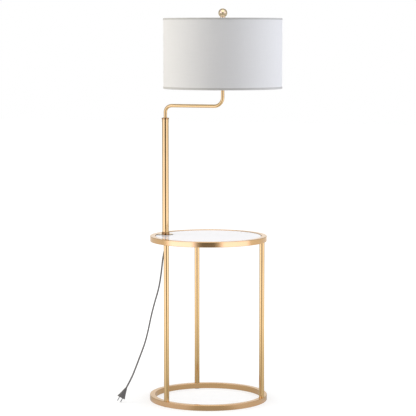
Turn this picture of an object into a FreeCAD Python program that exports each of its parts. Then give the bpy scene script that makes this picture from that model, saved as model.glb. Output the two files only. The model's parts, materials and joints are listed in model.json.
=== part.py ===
import FreeCAD, Part
import math
import os

from FreeCAD import Vector

# Floor lamp with a round glass table. Millimetres, +Z up, floor at z = 0.
# +X runs from the pole over the table to the shade. The origin is under the middle of the
# lamp's own box, which the base ring closes at -X and the shade closes at +X.

# ---------------------------------------------------------------- driving dimensions
overall_height = 1448.0          # floor to the top of the finial

table_ring_diameter = 432.0
base_ring_margin = 2.0           # how far the base ring stands out past the table ring
ring_section = 20.0              # height and width of the square tube
ring_wall = 1.5
ring_corner = 1.2                # outside corner radius of the square tube
table_height = 614.0             # floor to the top of the table ring

leg_diameter = 19.0
leg_wall = 1.2
leg_angles = [0.0, 120.0, -120.0]
leg_names = ["leg_front", "leg_rear_left", "leg_rear_right"]

insert_length = 25.0             # threaded insert in each end of a leg
leg_screw_diameter = 6.0
leg_screw_reach = 18.0           # thread above the base ring or below the table ring
leg_screw_head_diameter = 11.0
leg_screw_head_height = 3.5
leg_screw_key = 4.0              # across the flats of its hexagon recess
leg_screw_key_depth = 2.3
access_hole_diameter = 14.0      # in the underside of the base ring
foot_pad_diameter = 20.0
foot_pad_height = 1.0
foot_pad_stem_reach = 1.5        # stem past the wall it plugs

glass_thickness = 5.0
glass_recess = 1.5               # ring top to glass top
glass_side_gap = 1.5
glass_edge_round = 0.8
glass_notch_corner = 4.0
tab_angles = [36.0, 108.0, -36.0, -108.0]
tab_length = 15.0
tab_width = 24.0
tab_thickness = 3.0
glass_pad_diameter = 10.0
glass_pad_height = 1.0

pole_inset = 28.5                # inside face of the table ring to the pole's axis
pole_diameter = 24.5
pole_wall = 1.2
pole_top_drop = 50.5             # middle of the arm's level run to the top of the pole
bracket_half_width = 27.0
bracket_thickness = 6.0
bracket_notch_gap = 2.0
foot_collar_diameter = 28.5
foot_collar_height = 8.0
set_screw_diameter = 4.0
set_screw_key = 2.0
set_screw_angle = -110.0
foot_plug_length = 22.0

nipple_diameter = 9.7
nipple_bore = 6.8
nipple_above_bracket = 18.0
nipple_below_bracket = 12.0
lock_washer_diameter = 22.0
lock_washer_thickness = 1.5
lock_nut_across_flats = 16.0
lock_nut_height = 5.0
relief_length = 22.2
relief_top_radius = 7.0
relief_end_radius = 4.2
relief_grip_length = 5.4         # length of the nipple inside the strain relief

cap_rim_diameter = 27.0
cap_rim_height = 5.5
cap_cone_height = 1.0
cap_spigot_length = 28.0
bush_wall = 1.1
bush_floor = 2.0                 # the arm tube stands on this lip

arm_diameter = 12.5
arm_wall = 1.2
arm_rise = 68.5                  # middle of the level run to the arm's top
arm_reach = 222.5                # pole axis to shade axis
lower_bend_radius = 25.0
upper_bend_radius = 33.0

head_nipple_diameter = 10.0
head_nipple_bore = 6.2
head_nipple_below = 12.0
head_nipple_above = 11.0
head_nut_across_flats = 13.5
check_ring_diameter = 20.0
check_ring_height = 2.0
saddle_thickness = 1.6
saddle_width = 14.0
prong_width = 5.0
prong_height = 14.0
prong_half_span = 29.0           # shade axis to the outside of each prong

harp_wire_diameter = 3.2
harp_half_width = 54.0
harp_shoulder = 26.0             # half the level run at the top
harp_foot_lift = 6.0             # foot of the harp above the saddle's underside
harp_narrow_height = 40.0        # straight stretch above the foot
harp_widen_height = 42.0
harp_wide_height = 85.0
harp_bend_radius = 40.0
harp_shoulder_radius = 16.0
harp_height = 223.0              # foot to the middle of the level wire
harp_seat_height = 5.0           # level wire to the face that carries the spider
harp_seat_radius = 8.0
harp_seat_thickness = 1.6
harp_shank_radius = 5.3
harp_stud_diameter = 6.3
harp_stud_length = 20.0
sleeve_height = 14.0
sleeve_bore_radius = 4.3
sleeve_wall = 0.7

socket_cap_radius = 17.5
socket_cap_height = 20.4
socket_cap_neck_radius = 10.5
socket_cap_flare_height = 9.5
socket_cap_wall = 1.0
socket_shell_wall = 0.6
socket_shell_height = 54.0
socket_bead = 0.8
socket_overlap = 8.0             # length of the shell inside the cap
insulator_height = 22.0
insulator_lift = 4.0             # shell's foot to the insulator
liner_wall = 0.5
bulb_base_radius = 13.0
bulb_base_length = 25.0
bulb_base_wall = 0.4
bulb_tip_thickness = 1.6
screw_shell_wall = 0.5
screw_shell_height = 24.0
contact_radius = 4.0
contact_height = 1.2
bulb_radius = 30.0
bulb_length = 110.0
bulb_wall = 1.0
bulb_flare_angle = -35.0         # where the flare meets the ball, seen from its centre
bulb_neck_depth = 8.0            # glass neck inside the base

switch_shaft_diameter = 5.0
switch_lift = 11.0               # insulator's foot to the switch axis
switch_shaft_root = 6.0
switch_shaft_reach = 31.0
switch_hub_radius = 4.5
switch_hub_start = 19.0
switch_key_start = 29.0
switch_key_end = 43.0
switch_key_height = 15.0
switch_key_thickness = 3.4

shade_diameter = 436.0
shade_height = 256.0
shade_hub_drop = 16.1            # top edge to the underside of the spider's hub
shade_wall = 1.2
hem_tape = 0.6
hem_bottom_height = 8.0
hem_top_height = 6.0
hem_inner_height = 6.0
shade_wire_diameter = 3.0
spider_hub_radius = 12.5
spider_hub_thickness = 1.6
spider_hub_bore_radius = 4.0
spider_arm_angles = [180.0, 60.0, -60.0]
spider_arm_rise_start = 196.0
spider_notch_width = 5.0
spider_root_depth = 1.0          # wire welded into the hub
spider_bend_radius = 6.0

finial_height = 49.8
finial_ball_radius = 16.5
finial_neck_radius = 9.3
finial_foot_radius = 11.5
finial_foot_height = 6.5
finial_bore_slack = 1.0          # room over the stud's tip

cord_diameter = 6.0
cord_arc_share = 0.45            # of the shorter run, taken by each arc at its corner
lead_split_gap = 1.0
plug_length = 40.0
plug_sections = [                # width, thickness and distance from the cord's end
    (8.0, 7.0, 0.0),
    (11.0, 8.0, 7.0),
    (17.5, 10.6, 18.0),
    (26.5, 13.2, 33.0),
    (29.5, 14.0, 36.0),
    (31.0, 14.4, plug_length),
]
plug_blade_length = 16.0
plug_blade_width = 6.35
plug_blade_thickness = 1.5
plug_blade_spacing = 12.7
plug_blade_hole_diameter = 3.2
plug_blade_hole_setback = 4.0
plug_corner = 2.6
plug_side_flat = 0.2             # least flat left beside a corner
plug_blade_corner = 1.6

# Clearances
weld_gap = 0.1                   # between welded or pressed pieces
thread_gap = 0.05                # radial, in threads and running fits
part_gap = 0.3                   # between pieces that move apart
cut_margin = 1.0                 # how far a cut runs past the face it opens
same_place = 0.001               # how close two places count as one

# ---------------------------------------------------------------- derived places
shade_radius = shade_diameter / 2
table_radius = table_ring_diameter / 2
base_radius = table_radius + base_ring_margin
table_inner_radius = table_radius - ring_section
leg_circle_radius = table_radius - ring_section / 2
pole_offset = table_inner_radius - pole_inset
shade_offset = arm_reach - pole_offset
table_x = -(shade_offset + shade_radius - base_radius) / 2
pole_x = table_x - pole_offset
shade_x = pole_x + arm_reach

base_bottom = foot_pad_height
base_top = base_bottom + ring_section
ring_bottom = table_height - ring_section

glass_top_height = table_height - glass_recess
glass_bottom = glass_top_height - glass_thickness
glass_radius = table_inner_radius - glass_side_gap
glass_pad_bottom = glass_bottom - part_gap - glass_pad_height
tab_bottom = glass_pad_bottom - tab_thickness

pole_radius = pole_diameter / 2
pole_inner_radius = pole_radius - pole_wall
bracket_bottom = table_height - bracket_thickness
washer_bottom = bracket_bottom - lock_washer_thickness
nut_bottom = washer_bottom - lock_nut_height
nipple_bottom = bracket_bottom - nipple_below_bracket
relief_top = nut_bottom - part_gap
relief_bottom = relief_top - relief_length

# From the top down: finial, spider hub, harp, saddle, arm, pole
finial_bottom = overall_height - finial_height
finial_ball_height = overall_height - finial_ball_radius
hub_top = finial_bottom - part_gap
hub_bottom = hub_top - spider_hub_thickness
harp_seat_top = hub_bottom - part_gap
harp_level_height = harp_seat_top - harp_seat_height
harp_foot = harp_level_height - harp_height
stud_top = harp_seat_top + harp_stud_length
saddle_bottom = harp_foot - harp_foot_lift
saddle_top = saddle_bottom + saddle_thickness
arm_top_height = saddle_bottom - check_ring_height
arm_height = arm_top_height - arm_rise
pole_top_height = arm_height - pole_top_drop

arm_radius = arm_diameter / 2
arm_inner_radius = arm_radius - arm_wall
bush_radius = arm_radius + thread_gap + bush_wall
cap_bottom = pole_top_height - cap_spigot_length
cap_top = pole_top_height + cap_rim_height + cap_cone_height
arm_foot_height = cap_bottom + bush_floor + weld_gap

cap_inner_radius = socket_cap_radius - socket_cap_wall
shell_radius = cap_inner_radius - weld_gap
shell_bottom = saddle_top + socket_cap_height - socket_overlap
insulator_bottom = shell_bottom + insulator_lift
insulator_top = insulator_bottom + insulator_height
insulator_radius = shell_radius - socket_shell_wall - weld_gap
switch_height = insulator_bottom + switch_lift
bulb_foot = insulator_top + contact_height + part_gap
bulb_top = bulb_foot + bulb_length
harp_leg_y = prong_half_span + weld_gap + harp_wire_diameter / 2
harp_top = harp_foot + harp_narrow_height + harp_widen_height + harp_wide_height

shade_top_height = hub_bottom + shade_hub_drop
shade_bottom_height = shade_top_height - shade_height
drum_radius = shade_radius - hem_tape - weld_gap
drum_inner_radius = drum_radius - shade_wall
wire_radius = shade_wire_diameter / 2
wire_ring_radius = drum_inner_radius - weld_gap - wire_radius
hem_inner_radius = wire_ring_radius - wire_radius - weld_gap - hem_tape
top_wire_height = shade_top_height - hem_tape - weld_gap - wire_radius
bottom_wire_height = shade_bottom_height + hem_tape + weld_gap + wire_radius

# Route of the free cord, chosen by hand: it leaves the strain relief straight down, swings
# out to the side and ends at the plug, whose lower blade touches the floor.
cord_route = [
    Vector(pole_x, 0.0, relief_bottom),
    Vector(pole_x, 0.0, 570.0),
    Vector(-202.4, -9.1, 530.0),
    Vector(-205.6, -19.4, 470.0),
    Vector(-209.4, -35.3, 415.0),
    Vector(-221.0, -51.6, 362.0),
    Vector(-230.3, -65.1, 312.0),
    Vector(-237.4, -78.9, 258.0),
    Vector(-246.1, -91.2, 212.0),
    Vector(-259.2, -105.9, 168.0),
    Vector(-271.4, -120.3, 126.0),
    Vector(-283.3, -134.1, 88.0),
    Vector(-300.2, -144.8, 52.6),
]


# ---------------------------------------------------------------- shape helpers
def cylinder(radius, bottom, top, x=0.0, y=0.0):
    return Part.makeCylinder(radius, top - bottom, Vector(x, y, bottom), Vector(0, 0, 1))


def tube(outer_radius, inner_radius, bottom, top, x=0.0, y=0.0):
    return cylinder(outer_radius, bottom, top, x, y).cut(cylinder(inner_radius, bottom, top, x, y))


def rod(radius, start, end):
    return Part.makeCylinder(radius, (end - start).Length, start, end - start)


def block(low, high):
    return Part.makeBox(high.x - low.x, high.y - low.y, high.z - low.z, low)


def hexagon(across_flats, bottom, top, x=0.0, y=0.0):
    corner = across_flats / math.sqrt(3)
    angles = [math.radians(60 * side) for side in range(6)]
    ring = [Vector(x + corner * math.cos(a), y + corner * math.sin(a), bottom) for a in angles]
    face = Part.Face(Part.makePolygon(ring + ring[:1]))
    return face.extrude(Vector(0, 0, top - bottom))


def lathe(profile, x=0.0, y=0.0):
    """Turned solid about the vertical through x, y, from edges or (radius, height) corners."""
    if isinstance(profile[0], tuple):
        corners = [Vector(r, 0, z) for r, z in profile]
        wire = Part.makePolygon(corners + corners[:1])
    else:
        wire = Part.Wire(profile)
    solid = Part.Face(wire).revolve(Vector(0, 0, 0), Vector(0, 0, 1), 360)
    solid.translate(Vector(x, y, 0))
    return solid


def line(start, end):
    return Part.LineSegment(Vector(start[0], 0, start[1]), Vector(end[0], 0, end[1])).toShape()


def arc(start, middle, end):
    places = [Vector(point[0], 0, point[1]) for point in (start, middle, end)]
    return Part.Arc(*places).toShape()


def bent_wire(points, radii):
    """Straight runs joined by tangent arcs, one radius for each inner point."""
    edges = []
    start = points[0]
    for before, corner, after, radius in zip(points, points[1:], points[2:], radii):
        way_in = (corner - before).normalize()
        way_out = (after - corner).normalize()
        half_turn = way_in.getAngle(way_out) / 2
        trim = radius * math.tan(half_turn)
        arc_start = corner - way_in * trim
        arc_end = corner + way_out * trim
        bow = radius / math.cos(half_turn) - radius
        arc_middle = corner + (way_out - way_in).normalize() * bow
        edges.append(Part.LineSegment(start, arc_start).toShape())
        edges.append(Part.Arc(arc_start, arc_middle, arc_end).toShape())
        start = arc_end
    edges.append(Part.LineSegment(start, points[-1]).toShape())
    return Part.Wire(edges)


def round_sweep(wire, radius):
    first = wire.Edges[0]
    start = first.valueAt(first.FirstParameter)
    direction = first.tangentAt(first.FirstParameter)
    circle = Part.Wire(Part.makeCircle(radius, start, direction))
    return wire.makePipeShell([circle], True, False)


def round_edges(shape, radius, wanted):
    edges = [edge for edge in shape.Edges if wanted(edge)]
    return shape.makeFillet(radius, edges)


def ring_place(radius, angle):
    turn = math.radians(angle)
    return table_x + radius * math.cos(turn), radius * math.sin(turn)


# ---------------------------------------------------------------- stand
def square_tube_ring(outer_radius, bottom):
    """Square tube bent and welded into a ring, its inside hollow."""
    top = bottom + ring_section
    inner_radius = outer_radius - ring_section
    skin = tube(outer_radius, inner_radius, bottom, top, table_x)
    skin = round_edges(skin, ring_corner, lambda edge: isinstance(edge.Curve, Part.Circle))
    hollow = tube(outer_radius - ring_wall, inner_radius + ring_wall,
                  bottom + ring_wall, top - ring_wall, table_x)
    return skin.cut(hollow)


def base_ring():
    ring = square_tube_ring(base_radius, base_bottom)
    for angle in leg_angles:
        x, y = ring_place(leg_circle_radius, angle)
        screw_hole = leg_screw_diameter / 2 + weld_gap
        ring = ring.cut(cylinder(screw_hole, base_top - 2 * ring_wall, base_top, x, y))
        ring = ring.cut(cylinder(access_hole_diameter / 2, base_bottom, base_bottom + 2 * ring_wall, x, y))
    return ring


def foot_pads():
    pads = []
    stem_radius = access_hole_diameter / 2 - weld_gap
    for angle in leg_angles:
        x, y = ring_place(leg_circle_radius, angle)
        head = cylinder(foot_pad_diameter / 2, 0, base_bottom, x, y)
        stem = cylinder(stem_radius, 0, base_bottom + ring_wall + foot_pad_stem_reach, x, y)
        pads.append(head.fuse(stem).removeSplitter())
    return Part.makeCompound(pads)


def leg(angle):
    x, y = ring_place(leg_circle_radius, angle)
    return tube(leg_diameter / 2, leg_diameter / 2 - leg_wall, base_top, ring_bottom, x, y)


def leg_inserts(bottom):
    """Threaded plugs pressed into the same end of every leg."""
    outer = leg_diameter / 2 - leg_wall - thread_gap
    bore = leg_screw_diameter / 2 + thread_gap
    places = [ring_place(leg_circle_radius, angle) for angle in leg_angles]
    return Part.makeCompound([tube(outer, bore, bottom, bottom + insert_length, x, y) for x, y in places])


def leg_screws():
    """Socket screws that hold the legs from inside the base ring."""
    screws = []
    seat = base_top - ring_wall
    for angle in leg_angles:
        x, y = ring_place(leg_circle_radius, angle)
        shank = cylinder(leg_screw_diameter / 2, seat, base_top + leg_screw_reach, x, y)
        head = cylinder(leg_screw_head_diameter / 2, seat - leg_screw_head_height, seat, x, y)
        head_foot = seat - leg_screw_head_height
        recess = hexagon(leg_screw_key, head_foot, head_foot + leg_screw_key_depth, x, y)
        screws.append(shank.fuse(head).removeSplitter().cut(recess))
    return Part.makeCompound(screws)


def leg_studs():
    """Studs welded through the underside of the table ring."""
    radius = leg_screw_diameter / 2
    places = [ring_place(leg_circle_radius, angle) for angle in leg_angles]
    foot = ring_bottom - leg_screw_reach
    top = ring_bottom + 2 * ring_wall
    return Part.makeCompound([cylinder(radius, foot, top, x, y) for x, y in places])


def table_ring():
    ring = square_tube_ring(table_radius, ring_bottom)
    for angle in leg_angles:
        x, y = ring_place(leg_circle_radius, angle)
        ring = ring.cut(cylinder(leg_screw_diameter / 2 + weld_gap, ring_bottom,
                                 ring_bottom + 2 * ring_wall, x, y))
    return ring


def glass_tabs():
    """Flat tabs welded to the inside of the table ring, under the glass."""
    tabs = []
    rim = table_inner_radius - weld_gap
    for angle in tab_angles:
        low = Vector(table_x + rim - tab_length, -tab_width / 2, tab_bottom)
        high = Vector(table_x + rim + ring_section / 2, tab_width / 2, glass_pad_bottom)
        tab = block(low, high).common(cylinder(rim, tab_bottom, glass_pad_bottom, table_x))
        tab.rotate(Vector(table_x, 0, 0), Vector(0, 0, 1), angle)
        tabs.append(tab)
    return Part.makeCompound(tabs)


def glass_pads():
    radius = table_inner_radius - tab_length / 2
    pads = []
    for angle in tab_angles:
        x, y = ring_place(radius, angle)
        pads.append(cylinder(glass_pad_diameter / 2, glass_pad_bottom, glass_bottom - part_gap, x, y))
    return Part.makeCompound(pads)


def bracket_outline(half_width, bottom, top):
    """Round-ended tongue from the table ring in to the pole."""
    end = cylinder(half_width, bottom, top, pole_x)
    neck = block(Vector(table_x - table_radius, -half_width, bottom), Vector(pole_x, half_width, top))
    return end.fuse(neck).removeSplitter()


def pole_bracket():
    tongue = bracket_outline(bracket_half_width, bracket_bottom, table_height)
    tongue = tongue.common(cylinder(table_inner_radius - weld_gap, bracket_bottom, table_height, table_x))
    hole = cylinder(nipple_diameter / 2 + part_gap, bracket_bottom, table_height, pole_x)
    return tongue.cut(hole)


def glass_top():
    disc = cylinder(glass_radius, glass_bottom, glass_top_height, table_x)
    notch = bracket_outline(bracket_half_width + bracket_notch_gap, glass_bottom, glass_top_height)
    glass = disc.cut(notch)
    corner = table_x - glass_radius / 2

    def mouth(edge):
        upright = abs(edge.tangentAt(edge.FirstParameter).z) > 0.99
        return upright and edge.CenterOfMass.x < corner and abs(edge.CenterOfMass.y) > bracket_half_width

    glass = round_edges(glass, glass_notch_corner, mouth)

    def level(edge):
        low = edge.BoundBox.ZMin
        nearest = min(abs(low - glass_bottom), abs(low - glass_top_height))
        return nearest + edge.BoundBox.ZLength < same_place

    return round_edges(glass, glass_edge_round, level)


# ---------------------------------------------------------------- pole
def pole_tube():
    return tube(pole_radius, pole_inner_radius, table_height, pole_top_height, pole_x)


def pole_foot_plug():
    """Tapped plug pressed into the foot of the pole."""
    return tube(pole_inner_radius - thread_gap, nipple_diameter / 2 + thread_gap,
                table_height, table_height + foot_plug_length, pole_x)


def set_screw_axis(radius):
    turn = math.radians(set_screw_angle)
    height = table_height + foot_collar_height / 2
    return Vector(pole_x + radius * math.cos(turn), radius * math.sin(turn), height)


def pole_foot_collar():
    bore = pole_radius + thread_gap
    outer = foot_collar_diameter / 2
    top = table_height + foot_collar_height
    bevel = ring_corner
    collar = lathe([(bore, table_height), (outer, table_height), (outer, top - bevel),
                    (outer - bevel, top), (bore, top)], pole_x)
    hole = set_screw_diameter / 2 + thread_gap
    return collar.cut(rod(hole, set_screw_axis(bore - cut_margin), set_screw_axis(outer + cut_margin)))


def collar_set_screw():
    tip = pole_radius + weld_gap
    outer = foot_collar_diameter / 2 - weld_gap
    screw = rod(set_screw_diameter / 2, set_screw_axis(tip), set_screw_axis(outer))
    return screw.cut(rod(set_screw_key / 2, set_screw_axis((tip + outer) / 2), set_screw_axis(outer)))


def lower_nipple():
    return tube(nipple_diameter / 2, nipple_bore / 2, nipple_bottom,
                table_height + nipple_above_bracket, pole_x)


def lock_washer():
    bore = nipple_diameter / 2 + part_gap
    return tube(lock_washer_diameter / 2, bore, washer_bottom, bracket_bottom, pole_x)


def lock_nut():
    nut = hexagon(lock_nut_across_flats, nut_bottom, washer_bottom, pole_x)
    return nut.cut(cylinder(nipple_diameter / 2 + thread_gap, nut_bottom, washer_bottom, pole_x))


def cord_strain_relief():
    """Tapered rubber sleeve on the end of the nipple."""
    grip = nipple_bottom - weld_gap
    wide_bore = nipple_diameter / 2 + thread_gap
    cord_bore = cord_diameter / 2 + thread_gap
    shoulder = relief_top - relief_grip_length
    return lathe([(wide_bore, relief_top), (relief_top_radius, relief_top), (relief_top_radius, shoulder),
                  (relief_end_radius, relief_bottom), (cord_bore, relief_bottom), (cord_bore, grip),
                  (wide_bore, grip)], pole_x)


def pole_top_cap():
    bore = bush_radius + thread_gap
    rim = cap_rim_diameter / 2
    spigot = pole_inner_radius - thread_gap
    rim_top = pole_top_height + cap_rim_height
    return lathe([(bore, cap_bottom), (spigot, cap_bottom), (spigot, pole_top_height),
                  (rim, pole_top_height), (rim, rim_top), (bush_radius + bush_wall, cap_top),
                  (bore, cap_top)], pole_x)


def swivel_bush():
    """Plain bearing that carries the arm and lets it turn."""
    bore = arm_radius + thread_gap
    lip = arm_inner_radius - bush_wall
    floor_top = cap_bottom + bush_floor
    return lathe([(lip, cap_bottom), (bush_radius, cap_bottom), (bush_radius, cap_top),
                  (bore, cap_top), (bore, floor_top), (lip, floor_top)], pole_x)


def pole_lead():
    """Cord inside the pole, up to the swivel."""
    return cylinder(cord_diameter / 2, relief_bottom, arm_foot_height + lead_split_gap, pole_x)


# ---------------------------------------------------------------- arm and lamp head
def arm_path(foot, top):
    corners = [Vector(pole_x, 0, foot), Vector(pole_x, 0, arm_height),
               Vector(shade_x, 0, arm_height), Vector(shade_x, 0, top)]
    return bent_wire(corners, [lower_bend_radius, upper_bend_radius])


def arm_tube():
    path = arm_path(arm_foot_height, arm_top_height)
    return round_sweep(path, arm_radius).cut(round_sweep(path, arm_inner_radius))


def arm_lead():
    """Cord inside the arm, from the swivel to the socket."""
    path = arm_path(arm_foot_height + 2 * lead_split_gap, insulator_bottom - weld_gap)
    return round_sweep(path, cord_diameter / 2)


def head_nipple():
    return tube(head_nipple_diameter / 2, head_nipple_bore / 2, arm_top_height - head_nipple_below,
                arm_top_height + head_nipple_above, shade_x)


def check_ring():
    return tube(check_ring_diameter / 2, head_nipple_diameter / 2 + thread_gap,
                arm_top_height, saddle_bottom, shade_x)


def harp_saddle():
    half = saddle_width / 2
    base = block(Vector(shade_x - half, -prong_half_span, saddle_bottom),
                 Vector(shade_x + half, prong_half_span, saddle_top))
    for side in (-1, 1):
        inside = side * (prong_half_span - saddle_thickness)
        outside = side * prong_half_span
        base = base.fuse(block(
            Vector(shade_x - prong_width / 2, min(inside, outside), saddle_bottom),
            Vector(shade_x + prong_width / 2, max(inside, outside), saddle_bottom + prong_height)))
    hole = cylinder(head_nipple_diameter / 2 + thread_gap, saddle_bottom, saddle_top, shade_x)
    return base.removeSplitter().cut(hole)


def harp():
    """Bent wire that carries the shade, with its seat and stud on top."""
    narrow_top = harp_foot + harp_narrow_height
    wide_bottom = narrow_top + harp_widen_height
    side = [(harp_leg_y, harp_foot), (harp_leg_y, narrow_top), (harp_half_width, wide_bottom),
            (harp_half_width, harp_top), (harp_shoulder, harp_level_height)]
    points = [Vector(shade_x, y, z) for y, z in side]
    points += [Vector(shade_x, -y, z) for y, z in reversed(side)]
    bends = [harp_bend_radius] * 3 + [harp_shoulder_radius]
    wire = round_sweep(bent_wire(points, bends + bends[::-1]), harp_wire_diameter / 2)
    shank = cylinder(harp_shank_radius, harp_level_height - harp_wire_diameter, harp_seat_top, shade_x)
    flange = cylinder(harp_seat_radius, harp_seat_top - harp_seat_thickness, harp_seat_top, shade_x)
    stud = cylinder(harp_stud_diameter / 2, harp_seat_top, stud_top, shade_x)
    return wire.fuse([shank, flange, stud]).removeSplitter()


def harp_sleeve(side):
    """Ferrule that locks one foot of the harp to its prong."""
    y = side * (harp_leg_y + prong_half_span - saddle_thickness) / 2
    outer = sleeve_bore_radius + sleeve_wall
    bottom = saddle_top + part_gap
    return tube(outer, sleeve_bore_radius, bottom, bottom + sleeve_height, shade_x, y)


def socket_cap():
    bore = head_nipple_diameter / 2 + thread_gap
    neck = socket_cap_neck_radius
    flare = saddle_top + socket_cap_flare_height
    top = saddle_top + socket_cap_height
    wall = socket_cap_wall
    return lathe([(bore, saddle_top), (neck, saddle_top), (socket_cap_radius, flare),
                  (socket_cap_radius, top), (cap_inner_radius, top), (cap_inner_radius, flare + wall / 2),
                  (neck - wall / 2, saddle_top + wall), (bore, saddle_top + wall)], shade_x)


def head_lock_nut():
    bottom = saddle_top + socket_cap_wall
    top = arm_top_height + head_nipple_above - socket_cap_wall
    nut = hexagon(head_nut_across_flats, bottom, top, shade_x)
    return nut.cut(cylinder(head_nipple_diameter / 2 + thread_gap, bottom, top, shade_x))


def switch_axis(reach):
    return Vector(shade_x + reach, 0, switch_height)


def socket_shell():
    top = shell_bottom + socket_shell_height
    inner = shell_radius - socket_shell_wall
    bead = shell_radius + socket_bead
    shell = lathe([(inner, shell_bottom), (shell_radius, shell_bottom),
                   (shell_radius, top - 3 * socket_bead), (bead, top - 2 * socket_bead), (bead, top),
                   (inner, top)], shade_x)
    hole = switch_shaft_diameter / 2 + weld_gap
    return shell.cut(rod(hole, switch_axis(insulator_radius / 2), switch_axis(switch_shaft_reach)))


def socket_insulator():
    body = cylinder(insulator_radius, insulator_bottom, insulator_top, shade_x)
    hole = switch_shaft_diameter / 2 + thread_gap
    return body.cut(rod(hole, switch_axis(switch_shaft_root - part_gap), switch_axis(switch_shaft_reach)))


def socket_liner():
    """Insulating sleeve between the screw shell and the outer shell."""
    top = shell_bottom + socket_shell_height - 2 * socket_bead
    return tube(insulator_radius, insulator_radius - liner_wall, insulator_top, top, shade_x)


def screw_shell():
    inner = bulb_base_radius + thread_gap
    return tube(inner + screw_shell_wall, inner, insulator_top, insulator_top + screw_shell_height, shade_x)


def centre_contact():
    return cylinder(contact_radius, insulator_top, insulator_top + contact_height, shade_x)


def switch_shaft():
    return rod(switch_shaft_diameter / 2, switch_axis(switch_shaft_root), switch_axis(switch_shaft_reach))


def switch_key():
    hub_end = switch_key_start + switch_hub_radius
    hub = rod(switch_hub_radius, switch_axis(switch_hub_start), switch_axis(hub_end))
    half = Vector(0, switch_key_thickness / 2, switch_key_height / 2)
    paddle = block(switch_axis(switch_key_start) - half, switch_axis(switch_key_end) + half)

    def outer_corner(edge):
        across = edge.BoundBox.YLength > switch_key_thickness / 2
        return across and edge.CenterOfMass.x > shade_x + switch_key_end - same_place

    paddle = round_edges(paddle, switch_key_thickness, outer_corner)
    bore = rod(switch_shaft_diameter / 2 + thread_gap, switch_axis(switch_hub_start),
               switch_axis(switch_shaft_reach + part_gap))
    return hub.fuse(paddle).removeSplitter().cut(bore)


def bulb_base():
    """Screw cap of the bulb, a cup with its tip contact."""
    rim = bulb_foot + bulb_base_length
    inner = bulb_base_radius - bulb_base_wall
    tip = contact_radius
    shoulder = bulb_foot + contact_radius
    return lathe([(0, bulb_foot), (tip, bulb_foot), (bulb_base_radius, shoulder), (bulb_base_radius, rim),
                  (inner, rim), (inner, shoulder + bulb_base_wall), (tip, bulb_foot + bulb_tip_thickness),
                  (0, bulb_foot + bulb_tip_thickness)], shade_x)


def bulb_profile(radius, neck, ball_height):
    """Neck, flare and ball of the bulb as points on one side: neck foot to top."""
    rim = bulb_foot + bulb_base_length
    touch = math.radians(bulb_flare_angle)
    return [(neck, rim - bulb_neck_depth), (neck, rim),
            (radius * math.cos(touch), ball_height + radius * math.sin(touch)),
            (radius, ball_height), (0, ball_height + radius)]


def bulb_glass():
    ball_height = bulb_top - bulb_radius
    neck = bulb_base_radius - bulb_base_wall - weld_gap
    outside = bulb_profile(bulb_radius, neck, ball_height)
    inside = bulb_profile(bulb_radius - bulb_wall, neck - bulb_wall, ball_height)

    def side(points):
        foot, rim, flare, widest, top = points
        return [line(foot, rim), line(rim, flare), arc(flare, widest, top)]

    crown = line(outside[-1], inside[-1])
    foot = line(inside[0], outside[0])
    return lathe(Part.__sortEdges__(side(outside) + [crown] + side(inside)[::-1] + [foot]), shade_x)


# ---------------------------------------------------------------- shade
def shade_drum():
    gap = hem_tape + weld_gap
    return tube(drum_radius, drum_inner_radius, shade_bottom_height + gap, shade_top_height - gap, shade_x)


def hem(edge_height, outer_height, inwards):
    """Fabric tape folded over one edge of the drum and its wire; inwards is +1 at the bottom."""
    tape = hem_tape * inwards
    outer = edge_height + outer_height * inwards
    inner = edge_height + hem_inner_height * inwards
    web = edge_height + tape
    return lathe([(hem_inner_radius, edge_height), (shade_radius, edge_height), (shade_radius, outer),
                  (shade_radius - hem_tape, outer), (shade_radius - hem_tape, web),
                  (hem_inner_radius + hem_tape, web), (hem_inner_radius + hem_tape, inner),
                  (hem_inner_radius, inner)], shade_x)


def shade_top_hem():
    tape = hem(shade_top_height, hem_top_height, -1)
    half = spider_notch_width / 2
    near = shade_x + hem_inner_radius - cut_margin
    far = shade_x + hem_inner_radius + hem_tape + weld_gap / 2
    for angle in spider_arm_angles:
        low = Vector(near, -half, shade_top_height - 2 * hem_inner_height)
        high = Vector(far, half, shade_top_height - hem_tape)
        notch = block(low, high)
        notch.rotate(Vector(shade_x, 0, 0), Vector(0, 0, 1), angle)
        tape = tape.cut(notch)
    return tape


def shade_wire(height):
    ring = Part.makeTorus(wire_ring_radius, wire_radius)
    ring.translate(Vector(shade_x, 0, height))
    return ring


def shade_spider():
    """Hub and three wires that hang the shade from the harp's seat."""
    arm_level = (hub_bottom + hub_top) / 2
    end = wire_ring_radius - wire_radius - weld_gap - wire_radius
    frame = cylinder(spider_hub_radius, hub_bottom, hub_top, shade_x)
    points = [Vector(shade_x + spider_hub_radius - spider_root_depth, 0, arm_level),
              Vector(shade_x + spider_arm_rise_start, 0, arm_level),
              Vector(shade_x + end, 0, top_wire_height)]
    for angle in spider_arm_angles:
        wire = round_sweep(bent_wire(points, [spider_bend_radius]), wire_radius)
        wire.rotate(Vector(shade_x, 0, 0), Vector(0, 0, 1), angle)
        frame = frame.fuse(wire)
    return frame.removeSplitter().cut(cylinder(spider_hub_bore_radius, hub_bottom, hub_top, shade_x))


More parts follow.
